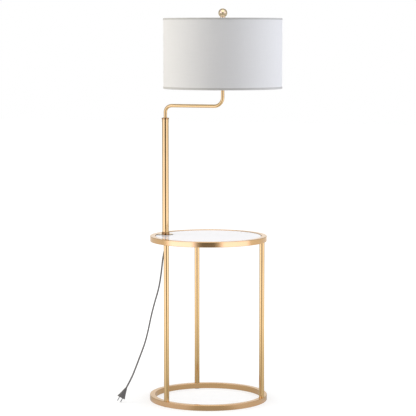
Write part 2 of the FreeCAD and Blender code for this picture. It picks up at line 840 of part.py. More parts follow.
def finial():
    neck_drop = math.sqrt(finial_ball_radius ** 2 - finial_neck_radius ** 2)
    ball_foot = finial_ball_height - neck_drop
    bore = harp_stud_diameter / 2 + thread_gap
    bore_top = stud_top + finial_bore_slack
    foot_top = finial_bottom + finial_foot_height
    waist = (foot_top + ball_foot) / 2
    edges = [
        line((bore, finial_bottom), (finial_foot_radius, finial_bottom)),
        line((finial_foot_radius, finial_bottom), (finial_foot_radius, foot_top)),
        line((finial_foot_radius, foot_top), (finial_neck_radius, waist)),
        line((finial_neck_radius, waist), (finial_neck_radius, ball_foot)),
        arc((finial_neck_radius, ball_foot), (finial_ball_radius, finial_ball_height), (0, overall_height)),
        line((0, overall_height), (0, bore_top)),
        line((0, bore_top), (bore, bore_top)),
        line((bore, bore_top), (bore, finial_bottom)),
    ]
    return lathe(edges, shade_x)


# ---------------------------------------------------------------- cord and plug
def cord_radii():
    radii = []
    for before, corner, after in zip(cord_route, cord_route[1:], cord_route[2:]):
        run_in = corner - before
        run_out = after - corner
        half_turn = run_in.getAngle(run_out) / 2
        radii.append(cord_arc_share * min(run_in.Length, run_out.Length) / math.tan(half_turn))
    return radii


def power_cord():
    radii = cord_radii()
    path = bent_wire(cord_route, radii)
    cord = round_sweep(path, cord_diameter / 2)
    share = cord.Volume / (math.pi * cord_diameter ** 2 / 4 * path.Length)
    print("cord radii", [round(radius) for radius in radii])
    print("cord length", round(path.Length, 1), "volume share", round(share, 5))
    return cord


def plug_placement():
    """Local +Z along the plug from the cord to the blades, local +X across the two blades."""
    along = (cord_route[-1] - cord_route[-2]).normalize()
    thickness = along.cross(Vector(0, 0, 1)).normalize()
    across = thickness.cross(along)
    rotation = FreeCAD.Rotation(across, thickness, along, "ZXY")
    return FreeCAD.Placement(cord_route[-1], rotation)


def rounded_rectangle(width, depth, height):
    corner = min(plug_corner, width / 2 - plug_side_flat, depth / 2 - plug_side_flat)
    top = height + cut_margin
    outline = block(Vector(-width / 2, -depth / 2, height), Vector(width / 2, depth / 2, top))
    outline = round_edges(outline, corner, lambda edge: edge.BoundBox.ZLength > cut_margin / 2)
    floor_face = min(outline.Faces, key=lambda face: face.CenterOfMass.z)
    return floor_face.OuterWire


def plug_body():
    """Flat moulded plug that widens from the cord to its face."""
    wires = [rounded_rectangle(*section) for section in plug_sections]
    body = Part.makeLoft(wires, True, True)
    body.Placement = plug_placement()
    return body


def plug_blades():
    blades = []
    end = plug_length + plug_blade_length

    def tip(edge):
        return edge.CenterOfMass.z > end - same_place and edge.BoundBox.XLength > plug_blade_thickness / 2

    for side in (-1, 1):
        middle = side * plug_blade_spacing / 2
        blade = block(Vector(middle - plug_blade_thickness / 2, -plug_blade_width / 2, plug_length),
                      Vector(middle + plug_blade_thickness / 2, plug_blade_width / 2, end))
        blade = round_edges(blade, plug_blade_corner, tip)
        hole_height = end - plug_blade_hole_setback
        hole = rod(plug_blade_hole_diameter / 2, Vector(middle - plug_blade_thickness, 0, hole_height),
                   Vector(middle + plug_blade_thickness, 0, hole_height))
        blades.append(blade.cut(hole))
    pair = Part.makeCompound(blades)
    pair.Placement = plug_placement()
    return pair


# ---------------------------------------------------------------- all pieces
pieces = {
    "base_ring": base_ring(),
    "foot_pads": foot_pads(),
    "leg_bottom_inserts": leg_inserts(base_top),
    "leg_screws": leg_screws(),
    "leg_top_inserts": leg_inserts(ring_bottom - insert_length),
    "leg_studs": leg_studs(),
    "table_ring": table_ring(),
    "glass_tabs": glass_tabs(),
    "glass_pads": glass_pads(),
    "glass_top": glass_top(),
    "pole_bracket": pole_bracket(),
    "pole_tube": pole_tube(),
    "pole_foot_plug": pole_foot_plug(),
    "pole_foot_collar": pole_foot_collar(),
    "collar_set_screw": collar_set_screw(),
    "lower_nipple": lower_nipple(),
    "lock_washer": lock_washer(),
    "lock_nut": lock_nut(),
    "cord_strain_relief": cord_strain_relief(),
    "pole_top_cap": pole_top_cap(),
    "swivel_bush": swivel_bush(),
    "pole_lead": pole_lead(),
    "arm_tube": arm_tube(),
    "arm_lead": arm_lead(),
    "head_nipple": head_nipple(),
    "check_ring": check_ring(),
    "harp_saddle": harp_saddle(),
    "harp": harp(),
    "harp_sleeve_left": harp_sleeve(1),
    "harp_sleeve_right": harp_sleeve(-1),
    "socket_cap": socket_cap(),
    "head_lock_nut": head_lock_nut(),
    "socket_shell": socket_shell(),
    "socket_insulator": socket_insulator(),
    "socket_liner": socket_liner(),
    "screw_shell": screw_shell(),
    "centre_contact": centre_contact(),
    "switch_shaft": switch_shaft(),
    "switch_key": switch_key(),
    "bulb_base": bulb_base(),
    "bulb_glass": bulb_glass(),
    "shade_drum": shade_drum(),
    "shade_top_hem": shade_top_hem(),
    "shade_bottom_hem": hem(shade_bottom_height, hem_bottom_height, 1),
    "shade_top_wire": shade_wire(top_wire_height),
    "shade_bottom_wire": shade_wire(bottom_wire_height),
    "shade_spider": shade_spider(),
    "finial": finial(),
    "power_cord": power_cord(),
    "plug_body": plug_body(),
    "plug_blades": plug_blades(),
}
for name, angle in zip(leg_names, leg_angles):
    pieces[name] = leg(angle)

os.makedirs("parts", exist_ok=True)
for name, shape in pieces.items():
    if not shape.isValid():
        raise ValueError(name + " is not a valid shape")
    shape.exportStep("parts/" + name + ".step")
print(len(pieces), "pieces; lowest point of the blades", round(pieces["plug_blades"].BoundBox.ZMin, 2))
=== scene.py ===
import json
import math

import bmesh
import bpy
from bpy.props import FloatProperty, FloatVectorProperty, PointerProperty
from mathutils import Matrix, Vector

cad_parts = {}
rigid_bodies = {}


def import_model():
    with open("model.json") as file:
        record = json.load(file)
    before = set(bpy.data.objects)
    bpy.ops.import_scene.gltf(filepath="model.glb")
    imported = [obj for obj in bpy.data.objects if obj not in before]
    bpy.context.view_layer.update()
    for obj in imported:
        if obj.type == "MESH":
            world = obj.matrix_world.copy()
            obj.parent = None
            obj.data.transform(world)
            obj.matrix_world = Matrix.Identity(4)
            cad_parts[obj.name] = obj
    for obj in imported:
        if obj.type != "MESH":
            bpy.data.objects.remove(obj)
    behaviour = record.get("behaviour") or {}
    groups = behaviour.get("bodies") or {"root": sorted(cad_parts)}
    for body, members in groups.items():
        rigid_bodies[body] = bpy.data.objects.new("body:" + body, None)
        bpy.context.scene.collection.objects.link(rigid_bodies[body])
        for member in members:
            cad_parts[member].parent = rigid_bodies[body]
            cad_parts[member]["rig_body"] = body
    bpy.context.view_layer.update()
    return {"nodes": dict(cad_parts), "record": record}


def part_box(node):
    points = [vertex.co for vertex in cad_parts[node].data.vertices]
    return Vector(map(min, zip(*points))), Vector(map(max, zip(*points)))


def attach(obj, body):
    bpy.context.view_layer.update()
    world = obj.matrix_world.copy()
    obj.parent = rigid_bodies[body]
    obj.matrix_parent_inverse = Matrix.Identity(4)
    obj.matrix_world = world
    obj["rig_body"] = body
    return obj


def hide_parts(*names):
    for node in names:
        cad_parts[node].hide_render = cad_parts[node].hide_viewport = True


bl_info = {
    "name": "Floor lamp with glass table",
    "version": (1, 0, 0),
    "blender": (4, 5, 0),
    "location": "3D View > Sidebar > Lamp",
    "description": "Dresses the packed floor lamp with its finishes, cord, shade and studio",
    "category": "Object",
}

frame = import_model()

FULL_TURN = 2 * math.pi
SHARP_ANGLE = math.radians(32)
MERGE = 0.00001

# Route of the free cord in metres, the same points as the model's own cord.
CORD_ROUTE = [
    (-0.195, 0.0, 0.579), (-0.195, 0.0, 0.570), (-0.2024, -0.0091, 0.530),
    (-0.2056, -0.0194, 0.470), (-0.2094, -0.0353, 0.415), (-0.2210, -0.0516, 0.362),
    (-0.2303, -0.0651, 0.312), (-0.2374, -0.0789, 0.258), (-0.2461, -0.0912, 0.212),
    (-0.2592, -0.1059, 0.168), (-0.2714, -0.1203, 0.126), (-0.2833, -0.1341, 0.088),
    (-0.3002, -0.1448, 0.0526),
]
# Stated length of that cord, and how far the route may be from it.
CORD_LENGTH = 0.558
CORD_TOLERANCE = 0.01

# Least gap between pieces that touch on the real lamp.
CLEARANCE = 0.0001
# Bevels on the edges of small fittings.
THIN_BEVEL = 0.00015
FINE_BEVEL = 0.0002
SOFT_BEVEL = 0.0003

# Metals: colour, brushing lines per metre along x, y and z, their depth, and roughness from and to.
METALS = {
    "brushed_gold_metal": ("gold", (60, 60, 5200), 0.000003, (0.06, 0.2)),
    "fitting_gold": ("fitting_gold", (60, 60, 5200), 0.000003, (0.1, 0.26)),
    "finial_gold": ("finial_gold", (900, 900, 2600), 0.000003, (0.12, 0.26)),
    "polished_brass": ("brass", (900, 900, 900), 0.000002, (0.06, 0.2)),
    "blade_nickel": ("blade", (2500, 300, 300), 0.000003, (0.25, 0.4)),
    "nickel_silver": ("nickel", (2500, 300, 300), 0.000003, (0.12, 0.3)),
    "zinc_steel": ("steel", (1500, 1500, 1500), 0.000006, (0.25, 0.5)),
    "dark_steel": ("dark_steel", (1500, 1500, 1500), 0.000006, (0.3, 0.5)),
}
# Plastic, rubber, paint and card: colour, roughness from and to, grains per metre, their depth,
# how far the patches darken, and clear coat.
MOULDINGS = {
    "grey_cable_vinyl": ("cord", (0.35, 0.55), 1800.0, 0.00003, 0.14, 0.0),
    "grey_cable_rubber": ("plug", (0.4, 0.62), 2200.0, 0.00004, 0.14, 0.0),
    "clear_rubber": ("rubber", (0.3, 0.5), 1500.0, 0.00003, 0.14, 0.1),
    "dark_nylon": ("nylon", (0.4, 0.6), 1500.0, 0.00003, 0.14, 0.0),
    "black_phenolic": ("phenolic", (0.12, 0.3), 900.0, 0.00001, 0.14, 0.3),
    "grey_card": ("card", (0.8, 0.95), 3000.0, 0.00008, 0.14, 0.0),
    "white_wire": ("wire", (0.35, 0.5), 2200.0, 0.00004, 0.14, 0.0),
    "shade_lining": ("lining", (0.45, 0.65), 700.0, 0.00003, 0.04, 0.0),
}
# Woven cloths: colour, threads per metre, depth of the weave, and how far thin yarns and the painted shade in
# the weave's hollows darken.
CLOTHS = {
    "white_linen": ("linen", 1500.0, 0.00006, 0.06),
    "white_hem_tape": ("hem", 2600.0, 0.00004, 0.08),
}

# The studio as metal mirrors it: degrees right of the camera, brightness and tint of what stands there.
STUDIO_WALLS = [
    (-180, 0.48, "plain"), (-166, 0.36, "plain"), (-150, 0.26, "plain"), (-98, 0.26, "plain"),
    (-90, 0.36, "plain"), (-77, 0.69, "cool"), (-33, 0.70, "cool"), (-21, 0.12, "plain"),
    (-13, 0.02, "warm"), (11, 0.025, "warm"), (19, 0.18, "plain"), (30, 0.66, "pale"),
    (79, 0.62, "pale"), (90, 0.30, "plain"), (125, 0.26, "plain"), (150, 0.26, "plain"),
    (166, 0.36, "plain"), (180, 0.48, "plain"),
]
WALL_TINTS = {"plain": (1.0, 1.0, 1.0), "warm": (1.0, 0.93, 0.85), "cool": (1.0, 1.02, 1.38),
              "pale": (1.0, 1.0, 1.3)}
# Rise of the view over which the walls dim, and their share below and above it.
WALL_DIMMING = (0.13, 0.22, 1.0, 0.74)
# Soft box over the camera: heading, closeness to it where it starts and is full, and colour.
SOFT_BOX = (0.0, -0.64, 0.77)
SOFT_BOX_EDGE = (0.74, 0.90, 0.0, 1.0)
SOFT_BOX_TONE = (1.0, 0.96, 0.88, 1.0)
# Brightness of the studio in metal, and the tone it takes far off.
STUDIO_GLOW = 2.4
FAR_TONE = (0.875, 0.87, 0.85, 1.0)
WHITE = (1.0, 1.0, 1.0, 1.0)

# The floor by metres from the lamp: distances from and to, and the value at each.
FLOOR_HALF_SIDE = 20.0
FLOOR_COLOUR = (0.42, 0.42, 0.42)
FLOOR_SEEN = (0.3, 1.6, 0.61, 0.86)
FLOOR_GLOW = (0.25, 3.0, 0.72, STUDIO_GLOW)
FLOOR_WALL_SHARE = (0.2, 3.0, 0.42, 0.93)
FLOOR_FAR_SHARE = (5.0, 12.0, 0.0, 1.0)
FLOOR_NEAR_TONE = (1.04, 1.02, 1.0, 1.0)

# Soft lamps: name, degrees right of the camera, distance, height, width, depth, power and tint.
LAMPS = [
    ("left_light", -88, 3.2, 1.35, 1.8, 2.8, "side_light", (1.0, 0.955, 0.845)),
    ("right_light", 88, 3.2, 1.35, 1.8, 2.8, "side_light", (0.87, 0.905, 1.0)),
    ("front_light", 0, 3.4, 1.5, 2.4, 2.4, "front_light", (1.0, 1.0, 1.0)),
    ("top_light", 0, 0.01, 3.4, 3.0, 3.0, "top_light", (1.0, 1.0, 1.0)),
]
LAMP_AIM = (0, 0, 0.75)


# ---------------------------------------------------------------- sizes, colours, studio
def length(name, metres, description):
    return FloatProperty(name=name, default=metres, min=0, unit="LENGTH", description=description)


def colour(name, value, description):
    return FloatVectorProperty(name=name, default=value, min=0, max=1, subtype="COLOR",
                               description=description)


def turn(name, degrees, description):
    return FloatProperty(name=name, default=math.radians(degrees), subtype="ANGLE", description=description)


def power(name, watts, description):
    return FloatProperty(name=name, default=watts, min=0, unit="POWER", description=description)


class LampSizes(bpy.types.PropertyGroup):
    ring_width: length("Ring width", 0.020, "Width of the square tube in both rings")
    ring_corner: length("Ring corner", 0.0016, "Outside corner radius of the square tube")
    edge_break: length("Edge break", 0.0004, "Small bevel on turned and cut edges")
    leg_wall: length("Leg wall", 0.0012, "Wall of the legs")
    arm_level: length("Arm height", 1.0915, "Floor to the middle of the arm's level run")
    lower_bend: length("Lower bend", 0.025, "Centre-line radius of the bend over the pole")
    upper_bend: length("Upper bend", 0.033, "Centre-line radius of the bend under the lamp head")
    hem_tape: length("Hem tape", 0.0006, "Thickness of the tape on the shade's edges")
    shade_cloth: length("Shade cloth", 0.0006, "Thickness of the linen on the drum")
    cord_width: length("Cord width", 0.0060, "Width of the flat twin cord")
    cord_twist: turn("Cord twist", 30, "Turn of the flat cord over its whole length")
    cord_roll: turn("Cord roll", -50, "Turn of the flat cord where it leaves the lamp")


class LampColours(bpy.types.PropertyGroup):
    # The tubes' gold is a darker, yellower copy of the rings' gold; the difference stands in for the dimmer
    # reflections on the tubes: painted shade.
    gold: colour("Gold", (0.82, 0.565, 0.255), "Antique gold metal of the tubes and fittings")
    ring_gold: colour("Ring gold", (0.90, 0.575, 0.285), "Antique gold metal of the rings")
    # A darker copy of the gold, standing in for the shade under the cap's rim and round the collar: painted
    # shade.
    fitting_gold: colour("Fitting gold", (0.52, 0.32, 0.14), "Darker gold of the collar and the pole's cap")
    # Near-black on the plate's upright edges, standing in for the shadow in the gap between the plate and the
    # glass: painted shadow.
    cut_gold: colour("Cut gold", (0.035, 0.024, 0.015), "Gold on the cut edge of the bracket's plate")
    # Paler than the other gold so that the ball's lower half looks lit, standing in for the bright inside of
    # the shade that it mirrors: painted light.
    finial_gold: colour("Finial gold", (0.95, 0.77, 0.51), "Pale gold of the finial")
    blade: colour("Blade", (0.30, 0.30, 0.30), "Worn metal of the plug's blades")
    brass: colour("Brass", (0.83, 0.66, 0.35), "Bright brass of the lamp head")
    steel: colour("Steel", (0.56, 0.57, 0.58), "Zinc plated fittings")
    dark_steel: colour("Dark steel", (0.06, 0.05, 0.045), "Set screw")
    nickel: colour("Nickel", (0.66, 0.65, 0.63), "Plug blades, screw shell and bulb cap")
    glass: colour("Glass", (0.94, 0.935, 1.0), "White painted table glass")
    glass_edge: colour("Glass edge", (0.62, 0.74, 0.70), "Table glass seen through its rim")
    bulb: colour("Bulb", (0.90, 0.89, 0.86), "Soft white bulb")
    linen: colour("Linen", (0.865, 0.86, 0.865), "Cloth of the shade")
    # Grey, darker than the linen, standing in for the shade on the tape's rolled edges: painted shade.
    hem: colour("Hem", (0.64, 0.63, 0.615), "Tape round the shade's edges")
    lining: colour("Lining", (0.84, 0.84, 0.82), "Stiff lining inside the shade")
    wire: colour("Wire", (0.80, 0.80, 0.78), "Powder coat on the shade's wires")
    cord: colour("Cord", (0.205, 0.195, 0.188), "Grey vinyl of the cord")
    plug: colour("Plug", (0.175, 0.17, 0.165), "Moulded vinyl of the plug")
    rubber: colour("Rubber", (0.62, 0.62, 0.59), "Clear pads")
    nylon: colour("Nylon", (0.10, 0.065, 0.04), "Bush in the pole's cap")
    phenolic: colour("Phenolic", (0.018, 0.017, 0.016), "Switch key and socket body")
    card: colour("Card", (0.38, 0.34, 0.28), "Fibre liner of the socket")


class LampStudio(bpy.types.PropertyGroup):
    camera_turn: turn("Camera turn", 17.8, "Camera's turn from straight along +Y")
    camera_drop: turn("Camera drop", 5.56, "How far the camera looks down")
    camera_distance: length("Camera distance", 6.515, "Camera to the table's axis, level")
    camera_height: length("Camera height", 1.350, "Floor to the camera")
    camera_step: length("Camera step", 0.0016, "Camera's step to its left")
    lens: FloatProperty(name="Lens", default=153.45, unit="CAMERA", description="Focal length")
    side_light: power("Side lights", 58.0, "Power of each side light")
    top_light: power("Top light", 36.0, "Power of the overhead light")
    front_light: power("Front light", 15.0, "Power of the soft light beside the camera")
    ambient: FloatProperty(name="Ambient", default=0.47, min=0, description="Light from all round")


def sizes():
    return bpy.context.scene.lamp_sizes


def colours():
    return bpy.context.scene.lamp_colours


def studio():
    return bpy.context.scene.lamp_studio


# ---------------------------------------------------------------- node helpers
class Graph:
    """Short words for building a node tree."""

    def __init__(self, tree):
        self.tree = tree

    def add(self, kind, **settings):
        node = self.tree.nodes.new("ShaderNode" + kind)
        for name, value in settings.items():
            setattr(node, name, value)
        return node

    def link(self, start, end):
        self.tree.links.new(start, end)

    def maths(self, operation, first, second=0.0):
        node = self.add("Math", operation=operation)
        for socket, value in zip(node.inputs, (first, second)):
            self.feed(socket, value)
        return node.outputs[0]

    def feed(self, socket, value):
        if isinstance(value, bpy.types.NodeSocket):
            self.link(value, socket)
        else:
            socket.default_value = value

    def fill(self, node, **values):
        """Feeds the node's inputs by name, with _ for each space."""
        for name, value in values.items():
            self.feed(node.inputs[name.replace("_", " ")], value)
        return node.outputs

    def mapped(self, value, start, end, low, high):
        """Maps start..end to low..high and holds the ends."""
        node = self.add("MapRange", clamp=True)
        return self.fill(node, Value=value, From_Min=start, From_Max=end, To_Min=low, To_Max=high)["Result"]

    def spread(self, value, low, high):
        """Maps 0..1 to low..high."""
        return self.mapped(value, 0.0, 1.0, low, high)

    def vector_maths(self, operation, first, second=None):
        node = self.add("VectorMath", operation=operation)
        self.feed(node.inputs[0], first)
        if second is not None:
            self.feed(node.inputs["Scale" if operation == "SCALE" else 1], second)
        return node.outputs["Value" if operation in ("DOT_PRODUCT", "LENGTH") else "Vector"]

    def axes(self, vector):
        node = self.add("SeparateXYZ")
        self.link(vector, node.inputs[0])
        return node.outputs

    def place(self, kind="Object"):
        return self.add("TexCoord").outputs[kind]

    def blend(self, factor, first, second, how="MIX"):
        node = self.add("Mix", data_type="RGBA", blend_type=how)
        self.feed(node.inputs["Factor"], factor)
        self.feed(node.inputs[6], first)
        self.feed(node.inputs[7], second)
        return node.outputs[2]

    def noise(self, vector, scale, detail=2.0, roughness=0.5):
        node = self.add("TexNoise")
        return self.fill(node, Vector=vector, Scale=scale, Detail=detail, Roughness=roughness)["Fac"]

    def stretched(self, vector, scale):
        return self.fill(self.add("Mapping"), Vector=vector, Scale=scale)["Vector"]

    def apply(self, group, **values):
        return self.fill(self.add("Group", node_tree=group), **values)

    def bump(self, height, distance):
        return self.fill(self.add("Bump"), Height=height, Distance=distance, Strength=1.0)["Normal"]

    def mixed(self, first, share, second):
        """The first value by its share and the second by the rest."""
        return self.maths("ADD", self.maths("MULTIPLY", first, share),
                          self.maths("MULTIPLY", second, 1 - share))

    def patched(self, cloud, base, low, high, darkest):
        """The colour, darkened in patches: cloud 0..1 is spread over low..high."""
        return self.blend(self.spread(cloud, low, high), shaded(base, darkest), shaded(base, 1.0))

    def upright_faces(self, limit):
        """1 on faces that stand upright, 0 on level ones."""
        rise = self.maths("ABSOLUTE", self.axes(self.place("Normal"))["Z"])
        return self.maths("LESS_THAN", rise, limit)

    def shaders(self, share, first, second):
        """Shades with first, and by its share with second."""
        node = self.add("MixShader")
        for socket, start in zip(node.inputs, (share, first, second)):
            self.link(start, socket)
        return node.outputs[0]


def new_group(name, inputs, outputs):
    group = bpy.data.node_groups.new(name, "ShaderNodeTree")
    for label, kind, default in inputs:
        socket = group.interface.new_socket(name=label, in_out="INPUT",
                                            socket_type="NodeSocket" + kind)
        if default is not None:
            socket.default_value = default
    for label, kind in outputs:
        group.interface.new_socket(name=label, in_out="OUTPUT", socket_type="NodeSocket" + kind)
    given = group.nodes.new("NodeGroupInput").outputs
    return group, Graph(group), given, group.nodes.new("NodeGroupOutput").inputs


def brushed_group():
    """Fine lines that follow the polishing, and the cloudy patches that handling leaves."""
    group, graph, given, out = new_group(
        "Brushed", [("Vector", "Vector", None), ("Lines", "Vector", (1, 1, 1)), ("Patch", "Float", 9.0)],
        [("Line", "Float"), ("Cloud", "Float")])
    drawn_out = graph.vector_maths("MULTIPLY", given["Vector"], given["Lines"])
    graph.link(graph.noise(drawn_out, scale=1.0, detail=3.0, roughness=0.6), out["Line"])
    graph.link(graph.noise(given["Vector"], given["Patch"]), out["Cloud"])
    return group


def weave_group():
    """Plain weave on UV in metres: thread height, and thick and thin yarns."""
    group, graph, given, out = new_group(
        "Weave", [("Vector", "Vector", None), ("Threads", "Float", 1500.0)],
        [("Height", "Float"), ("Yarn", "Float")])
    crossing_share = 0.35
    thick, drawn_out = 900.0, 14.0
    axes = graph.axes(given["Vector"])
    waves = []
    for axis in "XY":
        wobble = graph.noise(given["Vector"], scale=60.0, detail=1.0)
        step = graph.maths("MULTIPLY", axes[axis], given["Threads"])
        waves.append(graph.maths("SINE", graph.maths("MULTIPLY", graph.maths("ADD", step, wobble), math.pi)))
    lift = graph.maths("MULTIPLY", *(graph.maths("ABSOLUTE", wave) for wave in waves))
    over = graph.maths("MULTIPLY", graph.maths("MULTIPLY", *waves), crossing_share)
    graph.link(graph.maths("ADD", lift, over), out["Height"])
    slubs = [graph.noise(graph.stretched(given["Vector"], scale), scale=1.0)
             for scale in ((thick, drawn_out, 1.0), (drawn_out, thick, 1.0))]
    graph.link(graph.mixed(slubs[0], 0.5, slubs[1]), out["Yarn"])
    return group


def studio_group():
    """How bright the studio looks in a reflection, by the direction seen from the lamp."""
    group, graph, given, out = new_group("Studio walls", [("Vector", "Vector", None)], [("Color", "Color")])
    view = graph.fill(graph.add("VectorRotate", rotation_type="Z_AXIS"), Vector=given["Vector"],
                      Angle=-studio().camera_turn)["Vector"]
    axes = graph.axes(view)
    angle = graph.maths("ARCTAN2", axes["X"], graph.maths("MULTIPLY", axes["Y"], -1.0))
    ramp = graph.add("ValToRGB")
    graph.link(graph.maths("ADD", graph.maths("DIVIDE", angle, FULL_TURN), 0.5), ramp.inputs[0])
    stops = ramp.color_ramp.elements
    stops.remove(stops[1])
    for number, (degrees, level, tint) in enumerate(STUDIO_WALLS):
        stop = stops.new(degrees / 360 + 0.5) if number else stops[0]
        stop.color = [level * part for part in WALL_TINTS[tint]] + [1.0]
    towards = graph.vector_maths("DOT_PRODUCT", graph.vector_maths("NORMALIZE", view), SOFT_BOX)
    soft_box = graph.mapped(towards, *SOFT_BOX_EDGE)
    around = graph.blend(soft_box, ramp.outputs["Color"], SOFT_BOX_TONE)
    dimmed = graph.vector_maths("SCALE", around, graph.mapped(axes["Z"], *WALL_DIMMING))
    graph.link(dimmed, out["Color"])
    return group


GROUPS = {}


def group_named(build):
    """The node group that build makes, made once."""
    if build not in GROUPS:
        GROUPS[build] = build()
    return GROUPS[build]


# ---------------------------------------------------------------- finishes
def shaded(base, share):
    """The colour times share, with alpha."""
    return [part * share for part in base] + [1.0]


def new_finish(name, base, **fixed):
    """A material with its graph and its shader, fed with what is fixed."""
    material = bpy.data.materials.new(name)
    material.use_nodes = True
    graph = Graph(material.node_tree)
    shader = material.node_tree.nodes["Principled BSDF"]
    graph.fill(shader, Base_Color=shaded(base, 1.0), **fixed)
    return material, graph, shader


def metal(name, tone, lines, depth, roughness):
    """Plated or polished metal: brushing lines, cloudy handling marks and a little tarnish."""
    base = getattr(colours(), tone)
    material, graph, shader = new_finish(name, base, Metallic=1.0)
    marks = graph.apply(group_named(brushed_group), Vector=graph.place(), Lines=lines)
    worn = graph.mixed(marks["Line"], 0.5, marks["Cloud"])
    graph.fill(shader, Base_Color=graph.patched(marks["Cloud"], base, low=-0.5, high=1.2, darkest=0.88),
               Roughness=graph.spread(worn, *roughness), Normal=graph.bump(marks["Line"], depth))
    return material


def bracket_gold():
    """The bracket's plate: gold on its faces, near-black on its upright edges as painted shadow of the gap
    between the plate and the glass.
    """
    material = metal("bracket_gold", *METALS["brushed_gold_metal"])
    graph = Graph(material.node_tree)
    base_socket = material.node_tree.nodes["Principled BSDF"].inputs["Base Color"]
    face_tone = base_socket.links[0].from_socket
    # Upright faces of the plate take the painted shadow of the gap beside the glass.
    painted_gap_shadow = shaded(colours().cut_gold, 1.0)
    graph.link(graph.blend(graph.upright_faces(limit=0.8), face_tone, painted_gap_shadow), base_socket)
    return material


def white_glass():
    """Clear glass painted white underneath; its rim shows the green of the glass."""
    base = colours().glass
    material, graph, shader = new_finish("white_glass", base, IOR=1.52)
    dust = graph.noise(graph.place(), scale=14.0, detail=5.0, roughness=0.65)
    dusty = shaded(base, 0.96)
    paint = graph.blend(graph.spread(dust, low=-0.2, high=0.3), shaded(base, 1.0), dusty)
    wipes = (9, 30, 1)
    wiped = graph.noise(graph.stretched(graph.place(), wipes), scale=1.0, detail=4.0)
    rim = shaded(colours().glass_edge, 1.0)
    graph.fill(shader, Base_Color=graph.blend(graph.upright_faces(limit=0.6), paint, rim),
               Roughness=graph.spread(wiped, low=0.0, high=0.07))
    return material


def frosted_glass():
    """Soft white bulb glass."""
    material, graph, shader = new_finish("frosted_glass", colours().bulb, IOR=1.5, Coat_Weight=0.25)
    grain = graph.noise(graph.place(), scale=2600.0)
    graph.fill(shader, Roughness=graph.spread(grain, low=0.22, high=0.4),
               Normal=graph.bump(grain, distance=0.00002))
    return material


def cloth(name, tone, threads, depth, yarn_and_hollow_darkening):
    """Woven cloth on the piece's UV map, in metres, with painted shade darkening the weave's hollows."""
    base = getattr(colours(), tone)
    material, graph, shader = new_finish(name, base, Specular_IOR_Level=0.2)
    weave = graph.apply(group_named(weave_group), Vector=graph.place("UV"), Threads=threads)
    thin = shaded(base, 1 - yarn_and_hollow_darkening)
    full = [min(1.0, part) for part in shaded(base, 1 + yarn_and_hollow_darkening / 3)]
    yarn = graph.blend(graph.spread(weave["Yarn"], low=-0.6, high=1.6), thin, full)
    raised = graph.spread(weave["Height"], low=0.2, high=1.4)
    # Threads low in the weave take the thin yarns' darker tone: painted shade in the hollows.
    graph.fill(shader, Base_Color=graph.blend(raised, thin, yarn), Normal=graph.bump(weave["Height"], depth),
               Roughness=graph.spread(weave["Yarn"], low=0.8, high=1.0))
    return material


def moulded(name, tone, roughness, grains, depth, patches, coat):
    """Plastic, rubber, paint or card with a fine skin."""
    base = getattr(colours(), tone)
    material, graph, shader = new_finish(name, base, Coat_Weight=coat)
    grain = graph.noise(graph.place(), grains, detail=3.0)
    cloud = graph.noise(graph.place(), scale=35.0, detail=3.0)
    graph.fill(shader, Base_Color=graph.patched(cloud, base, low=-0.3, high=1.3, darkest=1 - patches),
               Roughness=graph.spread(grain, *roughness), Normal=graph.bump(grain, depth))
    return material


def ring_gold():
    """The rings' gold, polished along the ring and a little more satin."""
    base = colours().ring_gold
    material, graph, shader = new_finish("ring_gold", base, Metallic=1.0)
    to_centre = (-centre_of("table_ring").x, 0, 0)
    along_per_radian = 0.01
    axes = graph.axes(graph.fill(graph.add("Mapping", vector_type="POINT"), Vector=graph.place(),
                                 Location=to_centre)["Vector"])
    squares = [graph.maths("MULTIPLY", axes[axis], axes[axis]) for axis in "XY"]
    radius = graph.maths("SQRT", graph.maths("ADD", *squares))
    angle = graph.maths("ARCTAN2", axes["Y"], axes["X"])
    along = graph.fill(graph.add("CombineXYZ"), X=radius,
                       Y=graph.maths("MULTIPLY", angle, along_per_radian), Z=axes["Z"])["Vector"]
    marks = graph.apply(group_named(brushed_group), Vector=along, Lines=(4500, 60, 4500))
    cloud = graph.noise(graph.place(), scale=11.0, detail=3.0)
    worn = graph.mixed(marks["Line"], 0.6, cloud)
    graph.fill(shader, Base_Color=graph.patched(cloud, base, low=-0.4, high=1.2, darkest=0.9),
               Roughness=graph.spread(worn, low=0.06, high=0.24),
               Normal=graph.bump(marks["Line"], distance=0.000005))
    return material


OTHER_FINISHES = {build.__name__: build for build in (white_glass, frosted_glass, ring_gold, bracket_gold)}
FINISHES = {}


def finish_named(name):
    """The finish of that name, made once."""
    if name not in FINISHES:
        for table, build in ((METALS, metal), (MOULDINGS, moulded), (CLOTHS, cloth)):
            if name in table:
                FINISHES[name] = build(name, *table[name])
        if name not in FINISHES:
            FINISHES[name] = OTHER_FINISHES[name]()
    return FINISHES[name]


# ---------------------------------------------------------------- mesh helpers
def node_slot(node):
    return next(part["material_slot"] for part in frame["record"]["subparts"] if part["node"] == node)


def centre_of(node):
    low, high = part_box(node)
    return (Vector(low) + Vector(high)) / 2


def linked(name, data):
    """A new object in the scene."""
    thing = bpy.data.objects.new(name, data)
    bpy.context.scene.collection.objects.link(thing)
    return thing


def add_piece(name, mesh, node, finish=None):
    """Puts a finished mesh in the scene in place of its CAD node, on its body."""
    slot = node_slot(node)
    mesh.materials.clear()
    mesh.materials.append(finish_named(finish or slot))
    piece = linked(name, mesh)
    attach(piece, frame["nodes"][node]["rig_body"])
    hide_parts(node)
    return piece


def smooth_mesh(bm, name):
    """Turns bm into a mesh that shades smooth, with its sharp edges kept."""
    mesh = bpy.data.meshes.new(name)
    bm.to_mesh(mesh)
    bm.free()
    mesh.shade_smooth()
    mesh.set_sharp_from_angle(angle=SHARP_ANGLE)
    return mesh


